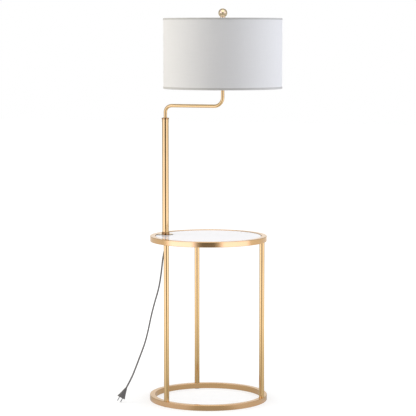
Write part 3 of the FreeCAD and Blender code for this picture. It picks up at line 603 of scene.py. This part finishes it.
def to_mesh(bm, name):
    bmesh.ops.remove_doubles(bm, verts=bm.verts, dist=MERGE)
    bmesh.ops.recalc_face_normals(bm, faces=bm.faces)
    return smooth_mesh(bm, name)


def soften(bm, geom, offset, segments, affect):
    """Bevels edges, kept clear of each other, or vertices."""
    bmesh.ops.bevel(bm, geom=geom, offset=offset, offset_type="OFFSET", segments=segments, profile=0.5,
                    affect=affect, material=-1, clamp_overlap=affect == "EDGES")


def wall_section(inner, outer, low, high):
    """Corners of a wall's section, as (radius, height)."""
    return [(inner, low), (outer, low), (outer, high), (inner, high)]


def add_form(name, bm, node, finish=None):
    """Adds a form that was built here as a piece."""
    return add_piece(name, to_mesh(bm, name), node, finish)


def turned(profile, centre, steps=96, closed=True, corner=0.0, corner_steps=3):
    """Turned form about the upright through centre, from (radius, height) corners."""
    bm = bmesh.new()
    verts = [bm.verts.new((radius, 0, height)) for radius, height in profile]
    for start, end in zip(verts, verts[1:]):
        bm.edges.new((start, end))
    if closed:
        bm.edges.new((verts[-1], verts[0]))
    if corner:
        off_axis = [vert for vert in verts if vert.co.x > MERGE and len(vert.link_edges) == 2]
        soften(bm, off_axis, corner, corner_steps, "VERTICES")
    bmesh.ops.spin(bm, geom=bm.verts[:] + bm.edges[:], cent=(0, 0, 0), axis=(0, 0, 1), dvec=(0, 0, 0),
                   angle=FULL_TURN, steps=steps, use_merge=True, use_duplicate=False)
    bmesh.ops.translate(bm, vec=(centre[0], centre[1], 0), verts=bm.verts)
    return bm


def turned_to(bm, angle, centre):
    """Turns a form made along +X to its angle about the upright through centre."""
    bmesh.ops.rotate(bm, cent=(0, 0, 0), matrix=Matrix.Rotation(angle, 3, "Z"), verts=bm.verts)
    bmesh.ops.translate(bm, vec=(centre[0], centre[1], 0), verts=bm.verts)
    return bm


def grown(bm, rim):
    """Extrudes the rim in place: its new vertices and edges."""
    geom = bmesh.ops.extrude_edge_only(bm, edges=rim)["geom"]
    return ([part for part in geom if isinstance(part, bmesh.types.BMVert)],
            [part for part in geom if isinstance(part, bmesh.types.BMEdge)])


def bent_tube(points, radii, radius, sides=24, step=math.radians(5)):
    """Round bar or tube through the points, with a bend of its own radius at each inner one."""
    bm = bmesh.new()
    corners = [Vector(point) for point in points]
    heading = (corners[1] - corners[0]).normalized()
    facing = Matrix.Translation(corners[0]) @ heading.to_track_quat("Z", "Y").to_matrix().to_4x4()
    circle = bmesh.ops.create_circle(bm, cap_ends=True, segments=sides, radius=radius, matrix=facing)
    rim = list(dict.fromkeys(edge for vert in circle["verts"] for edge in vert.link_edges))
    start = corners[0]
    for corner, after, bend in zip(corners[1:], corners[2:] + [None], [*radii, 0.0]):
        way_in = (corner - start).normalized()
        end = corner
        if after:
            way_out = (after - corner).normalized()
            turn_angle = way_in.angle(way_out)
            trim = bend * math.tan(turn_angle / 2)
            end = corner - way_in * trim
        verts, edges = grown(bm, rim)
        bmesh.ops.translate(bm, vec=end - start, verts=verts)
        rim = [edge for edge in edges if all(abs((vert.co - end).dot(way_in)) < MERGE for vert in edge.verts)]
        if after:
            axis = way_in.cross(way_out).normalized()
            geom = rim + list(dict.fromkeys(vert for edge in rim for vert in edge.verts))
            spun = bmesh.ops.spin(bm, geom=geom, cent=end + axis.cross(way_in) * bend, axis=axis,
                                  dvec=(0, 0, 0), angle=turn_angle, steps=max(2, round(turn_angle / step)),
                                  use_merge=False, use_duplicate=False)["geom_last"]
            rim = [part for part in spun if isinstance(part, bmesh.types.BMEdge)]
            start = corner + way_out * trim
    bmesh.ops.holes_fill(bm, edges=rim, sides=0)
    return bm


def smooth_copy(name, node, bevel=0.0, finish=None):
    """The CAD solid itself with its triangles joined, its edges softened and its curves smooth."""
    bm = bmesh.new()
    bm.from_mesh(frame["nodes"][node].data)
    bmesh.ops.remove_doubles(bm, verts=bm.verts, dist=MERGE)
    bmesh.ops.dissolve_limit(bm, angle_limit=math.radians(1), verts=bm.verts, edges=bm.edges)
    if bevel:
        edges = [edge for edge in bm.edges if edge.is_manifold and edge.calc_face_angle() > SHARP_ANGLE]
        soften(bm, edges, bevel, 2, "EDGES")
    return add_piece(name, smooth_mesh(bm, name), node, finish)


def weighted(piece):
    """Keeps flat faces flat in reflections beside rounded edges."""
    piece.modifiers.new("Face weights", "WEIGHTED_NORMAL").keep_sharp = True
    return piece


def fit_copies(*copies):
    """Fits softened copies of CAD solids: piece, node, bevel, and a finish of its own if it has one."""
    for copy in copies:
        weighted(smooth_copy(*copy))


def wrap_uv(mesh, centre, radius):
    """UV in metres round an upright drum: along its circumference, and up."""
    layer = mesh.uv_layers.new(name="Cloth")
    for face in mesh.polygons:
        middle = Vector(face.center) - Vector(centre)
        face_angle = math.atan2(middle.y, middle.x)
        for index in face.loop_indices:
            place = mesh.vertices[mesh.loops[index].vertex_index].co - Vector(centre)
            angle = math.atan2(place.y, place.x)
            angle += FULL_TURN * round((face_angle - angle) / FULL_TURN)
            layer.data[index].uv = (angle * radius, place.z + math.hypot(place.x, place.y) - radius)


class LampOperator(bpy.types.Operator):
    bl_options = {"REGISTER", "UNDO"}

    @classmethod
    def poll(cls, context):
        return context.scene is not None


# ---------------------------------------------------------------- camera and cord
class LAMP_OT_camera(LampOperator):
    """Place the camera at the photograph's viewing angle"""
    bl_idname = "lamp.camera"
    bl_label = "Camera"

    def execute(self, context):
        look = studio()
        data = bpy.data.cameras.new("Camera")
        data.lens = look.lens
        data.sensor_width = 36.0
        camera = linked("Camera", data)
        forward = Vector((-math.sin(look.camera_turn), math.cos(look.camera_turn), 0))
        right = Vector((forward.y, -forward.x, 0))
        place = centre_of("table_ring") - forward * look.camera_distance - right * look.camera_step
        camera.location = (place.x, place.y, look.camera_height)
        camera.rotation_euler = (math.pi / 2 - look.camera_drop, 0, look.camera_turn)
        context.scene.camera = camera
        return {"FINISHED"}


def route_curve(name, twist):
    data = bpy.data.curves.new(name, "CURVE")
    data.dimensions = "3D"
    data.twist_mode = "MINIMUM"
    spline = data.splines.new("NURBS")
    spline.points.add(len(CORD_ROUTE) - 1)
    for number, (point, place) in enumerate(zip(spline.points, CORD_ROUTE)):
        point.co = (*place, 1.0)
        point.tilt = sizes().cord_roll + twist * number / (len(CORD_ROUTE) - 1)
    spline.order_u = 3
    spline.use_endpoint_u = True
    spline.resolution_u = data.resolution_u = 14
    return data


def twin_profile(width):
    """Outline of a flat twin cord: two round cores side by side."""
    core_share = 0.34
    groove = math.radians(140)
    steps = 12
    core = width * core_share
    half_gap = width / 2 - core
    data = bpy.data.curves.new("cord_profile", "CURVE")
    data.dimensions = "2D"
    spline = data.splines.new("POLY")
    turns = [(facing, -groove + 2 * groove * step / steps) for facing in (1, -1) for step in range(steps + 1)]
    spline.points.add(len(turns) - 1)
    for point, (facing, angle) in zip(spline.points, turns):
        point.co = (facing * (half_gap + core * math.cos(angle)), facing * core * math.sin(angle), 0, 1)
    spline.use_cyclic_u = True
    return data


def mesh_of_curve(data, name):
    """The curve as Blender makes it, as a mesh."""
    holder = linked(name, data)
    depsgraph = bpy.context.evaluated_depsgraph_get()
    mesh = bpy.data.meshes.new_from_object(holder.evaluated_get(depsgraph))
    bpy.data.objects.remove(holder)
    return mesh


def plug_frame():
    """Plug axes: across the blades, through its thickness, and along from the cord to the blades."""
    end = Vector(CORD_ROUTE[-1])
    along = (end - Vector(CORD_ROUTE[-2])).normalized()
    thickness = along.cross(Vector((0, 0, 1))).normalized()
    across = thickness.cross(along)
    return Matrix.Translation(end) @ Matrix((across, thickness, along)).transposed().to_4x4()


def plug_sections():
    """Width, thickness and distance from the cord's end, with grip ribs on the flare."""
    ribs = 4
    start, end = 0.016, 0.032
    start_width, start_depth = 0.0163, 0.0101
    flare_width, flare_depth = 0.0097, 0.0029
    groove = 0.0009
    sections = [(0.0080, 0.0070, 0.0), (0.0086, 0.0073, 0.003), (0.0110, 0.0080, 0.007),
                (0.0154, 0.0098, 0.0145)]
    for rib in range(ribs):
        for share, dip in ((0.0, 0.0), (0.2, groove), (0.55, groove), (0.75, 0.0)):
            flare = (rib + share) / ribs
            sections.append((start_width + flare_width * flare - dip,
                             start_depth + flare_depth * flare - dip / 2, start + (end - start) * flare))
    return sections + [(0.0265, 0.0132, 0.033), (0.0295, 0.0140, 0.036), (0.0307, 0.0144, 0.0385),
                       (0.0310, 0.0144, 0.0396), (0.0304, 0.0138, 0.0400)]


def plug_form():
    corner_share = 0.36
    bm = bmesh.new()
    sections = plug_sections()
    width, depth, place = sections[0]
    corners = [(-1, -1), (1, -1), (1, 1), (-1, 1)]
    face = bm.faces.new([bm.verts.new((x * width / 2, y * depth / 2, place)) for x, y in corners])
    soften(bm, face.verts[:], width * corner_share, 6, "VERTICES")
    rim = bm.edges[:]
    for wide, deep, along in sections[1:]:
        verts, edges = grown(bm, rim)
        bmesh.ops.scale(bm, vec=(wide / width, deep / depth, 1), verts=verts)
        bmesh.ops.translate(bm, vec=(0, 0, along - place), verts=verts)
        rim = [edge for edge in edges if all(vert in verts for vert in edge.verts)]
        width, depth, place = wide, deep, along
    bmesh.ops.holes_fill(bm, edges=rim, sides=0)
    bmesh.ops.transform(bm, matrix=plug_frame(), verts=bm.verts)
    return bm


class LAMP_OT_cord(LampOperator):
    """Lay the power cord, with its strain relief and plug"""
    bl_idname = "lamp.cord"
    bl_label = "Power cord"

    def execute(self, context):
        width = sizes().cord_width
        path_mesh = mesh_of_curve(route_curve("cord_path", 0.0), "cord_path")
        path = [vert.co[:] for vert in path_mesh.vertices]
        bpy.data.meshes.remove(path_mesh)
        profile = linked("cord_profile", twin_profile(width))
        data = route_curve("cord_lead", sizes().cord_twist)
        data.bevel_mode = "OBJECT"
        data.bevel_object = profile
        data.use_fill_caps = True
        mesh = mesh_of_curve(data, "cord_lead")
        bpy.data.objects.remove(profile)
        mesh.shade_smooth()
        lead = add_piece("cord_lead", mesh, "power_cord")
        plug = add_form("plug_moulding", plug_form(), "plug_body")
        blades = smooth_copy("plug_blade_pair", "plug_blades", FINE_BEVEL, "blade_nickel")
        relief = add_form("strain_relief_sleeve", relief_form(), "cord_strain_relief")
        run = sum((Vector(end) - Vector(start)).length for start, end in zip(path, path[1:]))
        if abs(run - CORD_LENGTH) > CORD_TOLERANCE:
            raise RuntimeError("the cord's route is not its stated length")
        return {"FINISHED"}


def relief_form():
    """Tapered sleeve with moulded rings that let it bend."""
    low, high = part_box("cord_strain_relief")
    wide = (high[0] - low[0]) / 2
    thin = 0.0042
    bore = sizes().cord_width / 2 + CLEARANCE
    grip = 0.0054
    groove = 0.0007
    end_break = 0.0006
    rings = 5
    pitch = (high[2] - low[2] - grip) / rings
    profile = [(bore, high[2]), (wide, high[2]), (wide, high[2] - grip)]
    for ring in range(rings):
        top = high[2] - grip - ring * pitch
        radius = wide + (thin - wide) * (ring + 0.5) / rings
        # Distance down from the ring's top, and depth below its crest.
        profile += [(radius - dip, top - drop) for drop, dip in
                    ((0.0002, groove), (0.0011, groove), (0.0015, 0.0), (pitch - 0.0001, 0.0002))]
    profile += [(thin - end_break, low[2]), (bore, low[2])]
    return turned(profile, centre_of("cord_strain_relief"), steps=48)


# ---------------------------------------------------------------- stand
def tube_section(node, wall):
    """Section of a tube of that wall, from the node's box."""
    low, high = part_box(node)
    outer = (high[0] - low[0]) / 2
    return wall_section(outer - wall, outer, low[2], high[2])


class LAMP_OT_rings(LampOperator):
    """Bend the square tube rings under the feet and round the table"""
    bl_idname = "lamp.rings"
    bl_label = "Rings"

    def execute(self, context):
        for node in ("base_ring", "table_ring"):
            ring = turned(tube_section(node, sizes().ring_width), centre_of(node), steps=240,
                          corner=sizes().ring_corner, corner_steps=4)
            weighted(add_form(node + "_tube", ring, node, "ring_gold"))
        return {"FINISHED"}


def upright_tube(name, node, wall, steps):
    tube = turned(tube_section(node, wall), centre_of(node), steps=steps, corner=sizes().edge_break,
                  corner_steps=2)
    return weighted(add_form(name, tube, node))


class LAMP_OT_legs(LampOperator):
    """Stand the three legs between the rings"""
    bl_idname = "lamp.legs"
    bl_label = "Legs"

    def execute(self, context):
        for place in ("front", "rear_left", "rear_right"):
            upright_tube("leg_tube_" + place, "leg_" + place, sizes().leg_wall, steps=72)
        return {"FINISHED"}


class LAMP_OT_table(LampOperator):
    """Lay the glass in the table ring and fit the bracket that carries the pole"""
    bl_idname = "lamp.table"
    bl_label = "Table"

    def execute(self, context):
        fit_copies(("table_glass", "glass_top"),
                   ("pole_bracket_plate", "pole_bracket", sizes().edge_break, "bracket_gold"),
                   ("glass_tab_plates", "glass_tabs", sizes().edge_break))
        return {"FINISHED"}


class LAMP_OT_pole(LampOperator):
    """Raise the pole with its foot collar and swivel cap"""
    bl_idname = "lamp.pole"
    bl_label = "Pole"

    def execute(self, context):
        upright_tube("pole_skin", "pole_tube", sizes().leg_wall, steps=96)
        # The collar and the cap take the darker gold that paints their shade.
        fit_copies(("foot_collar", "pole_foot_collar", THIN_BEVEL, "fitting_gold"),
                   ("swivel_cap", "pole_top_cap", SOFT_BEVEL, "fitting_gold"),
                   ("nut_under_bracket", "lock_nut", SOFT_BEVEL))
        return {"FINISHED"}


# ---------------------------------------------------------------- arm and lamp head
class LAMP_OT_arm(LampOperator):
    """Bend the swivelling arm from the pole to under the shade"""
    bl_idname = "lamp.arm"
    bl_label = "Arm"

    def execute(self, context):
        low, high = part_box("arm_tube")
        foot, head = centre_of("swivel_bush"), centre_of("socket_cap")
        level = sizes().arm_level
        corners = [(foot.x, 0, low[2]), (foot.x, 0, level), (head.x, 0, level), (head.x, 0, high[2])]
        radius = high[1]
        tube = bent_tube(corners, [sizes().lower_bend, sizes().upper_bend], radius, sides=48,
                         step=math.radians(3))
        weighted(add_form("arm_skin", tube, "arm_tube"))
        return {"FINISHED"}


def joined(parts, name):
    """One mesh from several bmeshes, each kept as its own shell."""
    whole = bmesh.new()
    for part in parts:
        mesh = to_mesh(part, name + "_part")
        whole.from_mesh(mesh)
        bpy.data.meshes.remove(mesh)
    return smooth_mesh(whole, name)


def threaded_stud(centre, radius, low, high, pitch=0.0008):
    """Upright stud with thread ridges."""
    root = radius - pitch / 3
    profile = [(0, low)]
    for turn in range(int((high - low) / pitch)):
        profile += [(root, low + turn * pitch), (radius, low + (turn + 0.5) * pitch)]
    profile += [(root, high), (0, high)]
    return turned(profile, centre, steps=32, closed=False)


class LAMP_OT_harp(LampOperator):
    """Bend the harp, with the seat and stud that carry the shade"""
    bl_idname = "lamp.harp"
    bl_label = "Harp"

    narrow: length("Straight foot", 0.040, "Straight stretch above each foot")
    widen: length("Widening", 0.042, "Height over which the harp widens")
    tall: length("Tall sides", 0.085, "Height of the wide upright sides")
    foot_y: length("Foot spread", 0.0307, "Shade axis to the middle of each foot")
    shoulder: length("Shoulder", 0.026, "Half the level run at the top")
    level: length("Level", 1.391, "Floor to the middle of the level wire")
    wire: length("Wire", 0.0016, "Radius of the wire")
    bend: length("Bend", 0.040, "Centre-line radius of the bends up the sides")
    top_bend: length("Top bend", 0.016, "Centre-line radius of the bends beside the level wire")
    seat: length("Seat", 0.008, "Radius of the seat under the shade's spider")
    seat_neck: length("Seat neck", 0.0053, "Radius of the seat's neck, pressed round the wire")
    seat_drop: length("Seat drop", 0.0032, "Middle of the wire to the neck's foot")
    seat_rise: length("Seat rise", 0.005, "Middle of the wire to the seat's top")
    seat_rim: length("Seat rim", 0.0016, "Thickness of the seat's rim")
    stud: length("Stud", 0.00315, "Radius over the stud's thread")

    def execute(self, context):
        low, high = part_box("harp")
        centre = centre_of("harp")
        foot = low[2]
        half = high[1] - self.wire
        side = [(self.foot_y, foot), (self.foot_y, foot + self.narrow),
                (half, foot + self.narrow + self.widen),
                (half, foot + self.narrow + self.widen + self.tall), (self.shoulder, self.level)]
        points = [(centre.x, y, z) for y, z in side] + [(centre.x, -y, z) for y, z in reversed(side)]
        bends = [self.bend, self.bend, self.bend, self.top_bend]
        bow = bent_tube(points, bends + bends[::-1], self.wire, sides=20, step=math.radians(4))
        neck_foot = self.level - self.seat_drop
        seat_top = self.level + self.seat_rise
        rim_foot = seat_top - self.seat_rim
        seat = turned([(0, neck_foot), (self.seat_neck, neck_foot), (self.seat_neck, rim_foot),
                       (self.seat, rim_foot), (self.seat, seat_top), (0, seat_top)], centre, steps=48,
                      closed=False, corner=SOFT_BEVEL)
        sunk = 0.0005
        stud = threaded_stud(centre, self.stud, seat_top - sunk, high[2])
        add_piece("harp_bow", joined([bow, seat, stud], "harp_bow"), "harp")
        fit_copies(("saddle_plate", "harp_saddle", FINE_BEVEL),
                   ("ferrule_left", "harp_sleeve_left", FINE_BEVEL),
                   ("ferrule_right", "harp_sleeve_right", FINE_BEVEL))
        return {"FINISHED"}


class LAMP_OT_socket(LampOperator):
    """Turn the socket's cap and shell and fit the switch key and bulb"""
    bl_idname = "lamp.socket"
    bl_label = "Socket and bulb"

    def execute(self, context):
        fit_copies(("socket_cap_turned", "socket_cap", SOFT_BEVEL),
                   ("socket_shell_turned", "socket_shell", THIN_BEVEL),
                   ("switch_key_moulded", "switch_key", SOFT_BEVEL))
        smooth_copy("bulb_envelope", "bulb_glass")
        smooth_copy("bulb_cap", "bulb_base")
        fit_copies(("seat_ring", "check_ring", SOFT_BEVEL))
        return {"FINISHED"}


# ---------------------------------------------------------------- shade and finial
def drum_wall(inner, outer, low, high, centre):
    """Thin closed wall of a drum."""
    return turned(wall_section(inner, outer, low, high), centre, steps=180)


def hem_profile(edge, cover, inner_cover, inner, outer, tape, inwards):
    """Tape folded over an edge: outside face, across the edge, and down the inside."""
    fold = 0.0003
    steps = [(inner, fold), (inner + fold, 0), (outer - fold, 0), (outer, fold), (outer, cover - fold),
             (outer - tape / 2, cover), (outer - tape, cover), (outer - tape, tape), (inner + tape, tape),
             (inner + tape, inner_cover), (inner, inner_cover)]
    return [(radius, edge + inwards * rise) for radius, rise in steps]


def lap_seam(centre, outer, low, high, angle, width):
    """Overlap of the cloth where it is glued, up the back of the drum."""
    bm = bmesh.new()
    thickness = 0.0003
    corners = wall_section(outer, outer + thickness, low, high)
    face = bm.faces.new([bm.verts.new((radius, 0, height)) for radius, height in corners])
    spun = bmesh.ops.spin(bm, geom=[face] + face.edges[:] + face.verts[:], cent=(0, 0, 0), axis=(0, 0, 1),
                          dvec=(0, 0, 0), angle=width / outer, steps=6, use_merge=False, use_duplicate=False)
    if not spun["geom_last"]:
        raise RuntimeError("the seam was not made")
    return turned_to(bm, angle, centre)


class LAMP_OT_shade(LampOperator):
    """Cover the drum with linen over its lining, and fit its hems, wires and spider"""
    bl_idname = "lamp.shade"
    bl_label = "Shade"

    seam_turn: turn("Seam", 118, "Where the cloth overlaps, turned from +X")
    seam_width: length("Seam width", 0.012, "Width of the cloth's overlap")
    outer_cover: length("Lower hem", 0.008, "Height of the lower tape outside")
    top_cover: length("Upper hem", 0.006, "Height of the upper tape outside")
    inner_cover: length("Hem inside", 0.006, "Height of both tapes inside")
    hub_inner: length("Hub hole", 0.004, "Radius of the hole in the spider's hub")
    hub_outer: length("Hub", 0.0125, "Radius of the spider's hub")
    hub_low: length("Hub underside", 1.3963, "Floor to the hub's underside")
    hub_high: length("Hub top", 1.3979, "Floor to the hub's top")
    arm_start: length("Arm start", 0.0115, "Axis to the inner end of each spider arm")
    arm_bend: length("Arm bend", 0.196, "Axis to the bend in each spider arm")
    arm_radius: length("Arm bend radius", 0.006, "Centre-line radius of that bend")

    def execute(self, context):
        low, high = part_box("shade_drum")
        centre = centre_of("shade_drum")
        outer = (high[0] - low[0]) / 2
        hem_low, hem_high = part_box("shade_bottom_hem")
        hem_outer = (hem_high[0] - hem_low[0]) / 2
        cloth_wall = sizes().shade_cloth
        tape = sizes().hem_tape
        skin = drum_wall(outer - cloth_wall, outer, low[2], high[2], centre)
        fabric = add_form("shade_linen", skin, "shade_drum")
        lining = drum_wall(outer - 2 * cloth_wall, outer - cloth_wall, low[2], high[2], centre)
        add_form("shade_lining", lining, "shade_drum", "shade_lining")
        inset = 0.001
        lap = lap_seam(centre, outer, low[2] + inset, high[2] - inset, self.seam_turn, self.seam_width)
        seam = add_form("shade_seam", lap, "shade_drum")
        cloth_pieces = [fabric, seam]
        wire_low, wire_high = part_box("shade_top_wire")
        wire = (wire_high[2] - wire_low[2]) / 2
        ring = (wire_high[0] - wire_low[0]) / 2 - wire
        hem_inner = ring - wire - CLEARANCE - tape
        sides = 16
        for end, inwards, cover in (("bottom", 1, self.outer_cover), ("top", -1, self.top_cover)):
            node = f"shade_{end}_hem"
            box_low, box_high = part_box(node)
            edge = box_low[2] if inwards > 0 else box_high[2]
            profile = hem_profile(edge, cover, self.inner_cover, hem_inner, hem_outer, tape, inwards)
            cloth_pieces.append(add_form(f"{end}_hem_tape", turned(profile, centre, steps=180), node))
            height = centre_of(f"shade_{end}_wire").z
            section = [(ring + wire * math.cos(turn), height + wire * math.sin(turn))
                       for turn in (FULL_TURN * side / sides for side in range(sides))]
            add_form(f"{end}_wire_ring", turned(section, centre, steps=144), f"shade_{end}_wire")
        for piece in cloth_pieces:
            wrap_uv(piece.data, centre, outer)
        self.spider(centre, ring, wire)
        return {"FINISHED"}

    def spider(self, centre, ring, wire):
        """Hub with three arms that rise to the top wire."""
        hub = wall_section(self.hub_inner, self.hub_outer, self.hub_low, self.hub_high)
        level = (self.hub_low + self.hub_high) / 2
        top = centre_of("shade_top_wire").z
        end = ring - 2 * wire - CLEARANCE
        parts = [turned(hub, centre, steps=48, corner=SOFT_BEVEL)]
        for degrees in (180, 60, -60):
            arm = bent_tube([(self.arm_start, 0, level), (self.arm_bend, 0, level), (end, 0, top)],
                            [self.arm_radius], wire, sides=16)
            parts.append(turned_to(arm, math.radians(degrees), centre))
        add_piece("shade_spider_wires", joined(parts, "shade_spider_wires"), "shade_spider")


class LAMP_OT_finial(LampOperator):
    """Turn the finial, a ball on a short flared neck"""
    bl_idname = "lamp.finial"
    bl_label = "Finial"

    ball: length("Ball", 0.0165, "Radius of the ball")
    neck: length("Neck", 0.0093, "Radius of the neck")
    foot: length("Foot", 0.0115, "Radius of the foot")
    foot_height: length("Foot height", 0.0065, "Height of the foot's straight rim")
    bore: length("Bore", 0.0032, "Radius of the threaded hole")
    bore_depth: length("Bore depth", 0.021, "Depth of the threaded hole")

    def execute(self, context):
        low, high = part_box("finial")
        middle = high[2] - self.ball
        ball_foot = -math.acos(self.neck / self.ball)
        steps = 28
        arc = [ball_foot + (math.pi / 2 - ball_foot) * step / steps for step in range(steps + 1)]
        foot_top = low[2] + self.foot_height
        neck_foot = (foot_top + middle + self.ball * math.sin(ball_foot)) / 2
        bore_top = low[2] + self.bore_depth
        lower_break = 0.0006
        upper_break, upper_fall = 0.0007, 0.0012
        profile = [(self.bore, bore_top), (self.bore, low[2]), (self.foot - lower_break, low[2]),
                   (self.foot, low[2] + lower_break), (self.foot, foot_top - upper_fall),
                   (self.foot - upper_break, foot_top), (self.neck, neck_foot)]
        profile += [(max(0.0, self.ball * math.cos(turn)), middle + self.ball * math.sin(turn))
                    for turn in arc]
        profile.append((0, bore_top))
        # The ball takes the paler gold that paints light on its lower half.
        add_form("finial_ball", turned(profile, centre_of("finial"), steps=96), "finial", "finial_gold")
        return {"FINISHED"}


class LAMP_OT_fittings(LampOperator):
    """Give every fitting that is kept as built its finish"""
    bl_idname = "lamp.fittings"
    bl_label = "Fittings"

    def execute(self, context):
        for name, node in frame["nodes"].items():
            node.data.materials.clear()
            node.data.materials.append(finish_named(node_slot(name)))
        return {"FINISHED"}


# ---------------------------------------------------------------- stage
def background_share(graph, rays):
    """1 where the eye sees the background, straight or through glass."""
    return graph.maths("MAXIMUM", rays["Is Camera Ray"], rays["Is Transmission Ray"])


def world_nodes():
    """White to the eye, plain light on the lamp, and the studio in metal and glass."""
    world = bpy.data.worlds.new("Studio")
    bpy.context.scene.world = world
    world.use_nodes = True
    graph = Graph(world.node_tree)
    world.node_tree.nodes.clear()
    rays = graph.add("LightPath").outputs
    walls = graph.apply(group_named(studio_group), Vector=graph.place("Generated"))["Color"]
    backs = []
    for strength, tone in ((studio().ambient, WHITE),
                           (STUDIO_GLOW, graph.blend(1.0, walls, FAR_TONE, "MULTIPLY")), (1.0, WHITE)):
        back = graph.add("Background")
        back.inputs["Strength"].default_value = strength
        graph.feed(back.inputs["Color"], tone)
        backs.append(back.outputs[0])
    lit = graph.shaders(rays["Is Glossy Ray"], backs[0], backs[1])
    shown = graph.shaders(background_share(graph, rays), lit, backs[2])
    graph.link(shown, graph.add("OutputWorld").inputs["Surface"])


def floor_finish():
    """White to the eye with the lamp's shadow kept, studio-toned in metal, and clear from below."""
    material, graph, shader = new_finish("floor", FLOOR_COLOUR, Roughness=0.9, Emission_Color=WHITE)
    rays = graph.add("LightPath").outputs
    place = graph.place()
    away = graph.vector_maths("LENGTH", place)
    seen = graph.maths("MULTIPLY", background_share(graph, rays), graph.mapped(away, *FLOOR_SEEN))
    graph.link(seen, shader.inputs["Emission Strength"])
    walls = graph.apply(group_named(studio_group), Vector=place)["Color"]
    far = graph.mapped(away, *FLOOR_FAR_SHARE)
    wall_share = graph.maths("MAXIMUM", graph.mapped(away, *FLOOR_WALL_SHARE), far)
    tone = graph.blend(wall_share, FLOOR_NEAR_TONE, walls)
    glow = graph.add("Emission")
    graph.link(graph.mapped(away, *FLOOR_GLOW), glow.inputs["Strength"])
    graph.link(graph.blend(far, tone, FAR_TONE, "MULTIPLY"), glow.inputs["Color"])
    mirrored = graph.shaders(rays["Is Glossy Ray"], shader.outputs[0], glow.outputs[0])
    below = graph.maths("MULTIPLY", graph.add("NewGeometry").outputs["Backfacing"], rays["Is Camera Ray"])
    clear = graph.shaders(below, mirrored, graph.add("BsdfTransparent").outputs[0])
    graph.link(clear, material.node_tree.nodes["Material Output"].inputs["Surface"])
    return material


def area_light(name, degrees, distance, height, width, tall, power, tint):
    """Soft light aimed at the lamp, turned from the camera's side."""
    data = bpy.data.lights.new(name, "AREA")
    data.shape = "RECTANGLE"
    data.size = width
    data.size_y = tall
    data.energy = getattr(studio(), power)
    data.color = tint
    light = linked(name, data)
    angle = studio().camera_turn - math.pi / 2 + math.radians(degrees)
    light.location = (distance * math.cos(angle), distance * math.sin(angle), height)
    aim = Vector(LAMP_AIM) - light.location
    light.rotation_euler = aim.to_track_quat("-Z", "Y").to_euler()
    light.visible_glossy = False


class LAMP_OT_stage(LampOperator):
    """Build the white studio: floor, backdrop light and soft lamps"""
    bl_idname = "lamp.stage"
    bl_label = "Studio"

    def execute(self, context):
        context.scene.view_settings.view_transform = "Standard"
        world_nodes()
        bm = bmesh.new()
        bmesh.ops.create_grid(bm, x_segments=1, y_segments=1, size=FLOOR_HALF_SIDE)
        mesh = bpy.data.meshes.new("floor")
        bm.to_mesh(mesh)
        bm.free()
        mesh.materials.append(floor_finish())
        floor = linked("floor", mesh)
        for lamp in LAMPS:
            area_light(*lamp)
        return {"FINISHED"}


# ---------------------------------------------------------------- add-on
class LAMP_PT_panel(bpy.types.Panel):
    bl_label = "Floor lamp"
    bl_space_type = "VIEW_3D"
    bl_region_type = "UI"
    bl_category = "Lamp"

    def draw(self, context):
        for operator in OPERATORS:
            self.layout.operator(operator.bl_idname)
        for group in (context.scene.lamp_sizes, context.scene.lamp_colours, context.scene.lamp_studio):
            box = self.layout.box()
            for name in group.__annotations__:
                box.prop(group, name)


OPERATORS = (LAMP_OT_camera, LAMP_OT_cord, LAMP_OT_rings, LAMP_OT_legs, LAMP_OT_table, LAMP_OT_pole,
             LAMP_OT_arm, LAMP_OT_harp, LAMP_OT_socket, LAMP_OT_shade, LAMP_OT_finial, LAMP_OT_fittings,
             LAMP_OT_stage)
CLASSES = (LampSizes, LampColours, LampStudio, *OPERATORS, LAMP_PT_panel)


def register():
    for item in CLASSES:
        bpy.utils.register_class(item)
    bpy.types.Scene.lamp_sizes = PointerProperty(type=LampSizes)
    bpy.types.Scene.lamp_colours = PointerProperty(type=LampColours)
    bpy.types.Scene.lamp_studio = PointerProperty(type=LampStudio)


def unregister():
    del bpy.types.Scene.lamp_studio
    del bpy.types.Scene.lamp_colours
    del bpy.types.Scene.lamp_sizes
    for item in reversed(CLASSES):
        bpy.utils.unregister_class(item)


def main():
    register()
    for operator in OPERATORS:
        name = operator.bl_idname.split(".")[1]
        getattr(bpy.ops.lamp, name)()


if __name__ == "__main__":
    main()
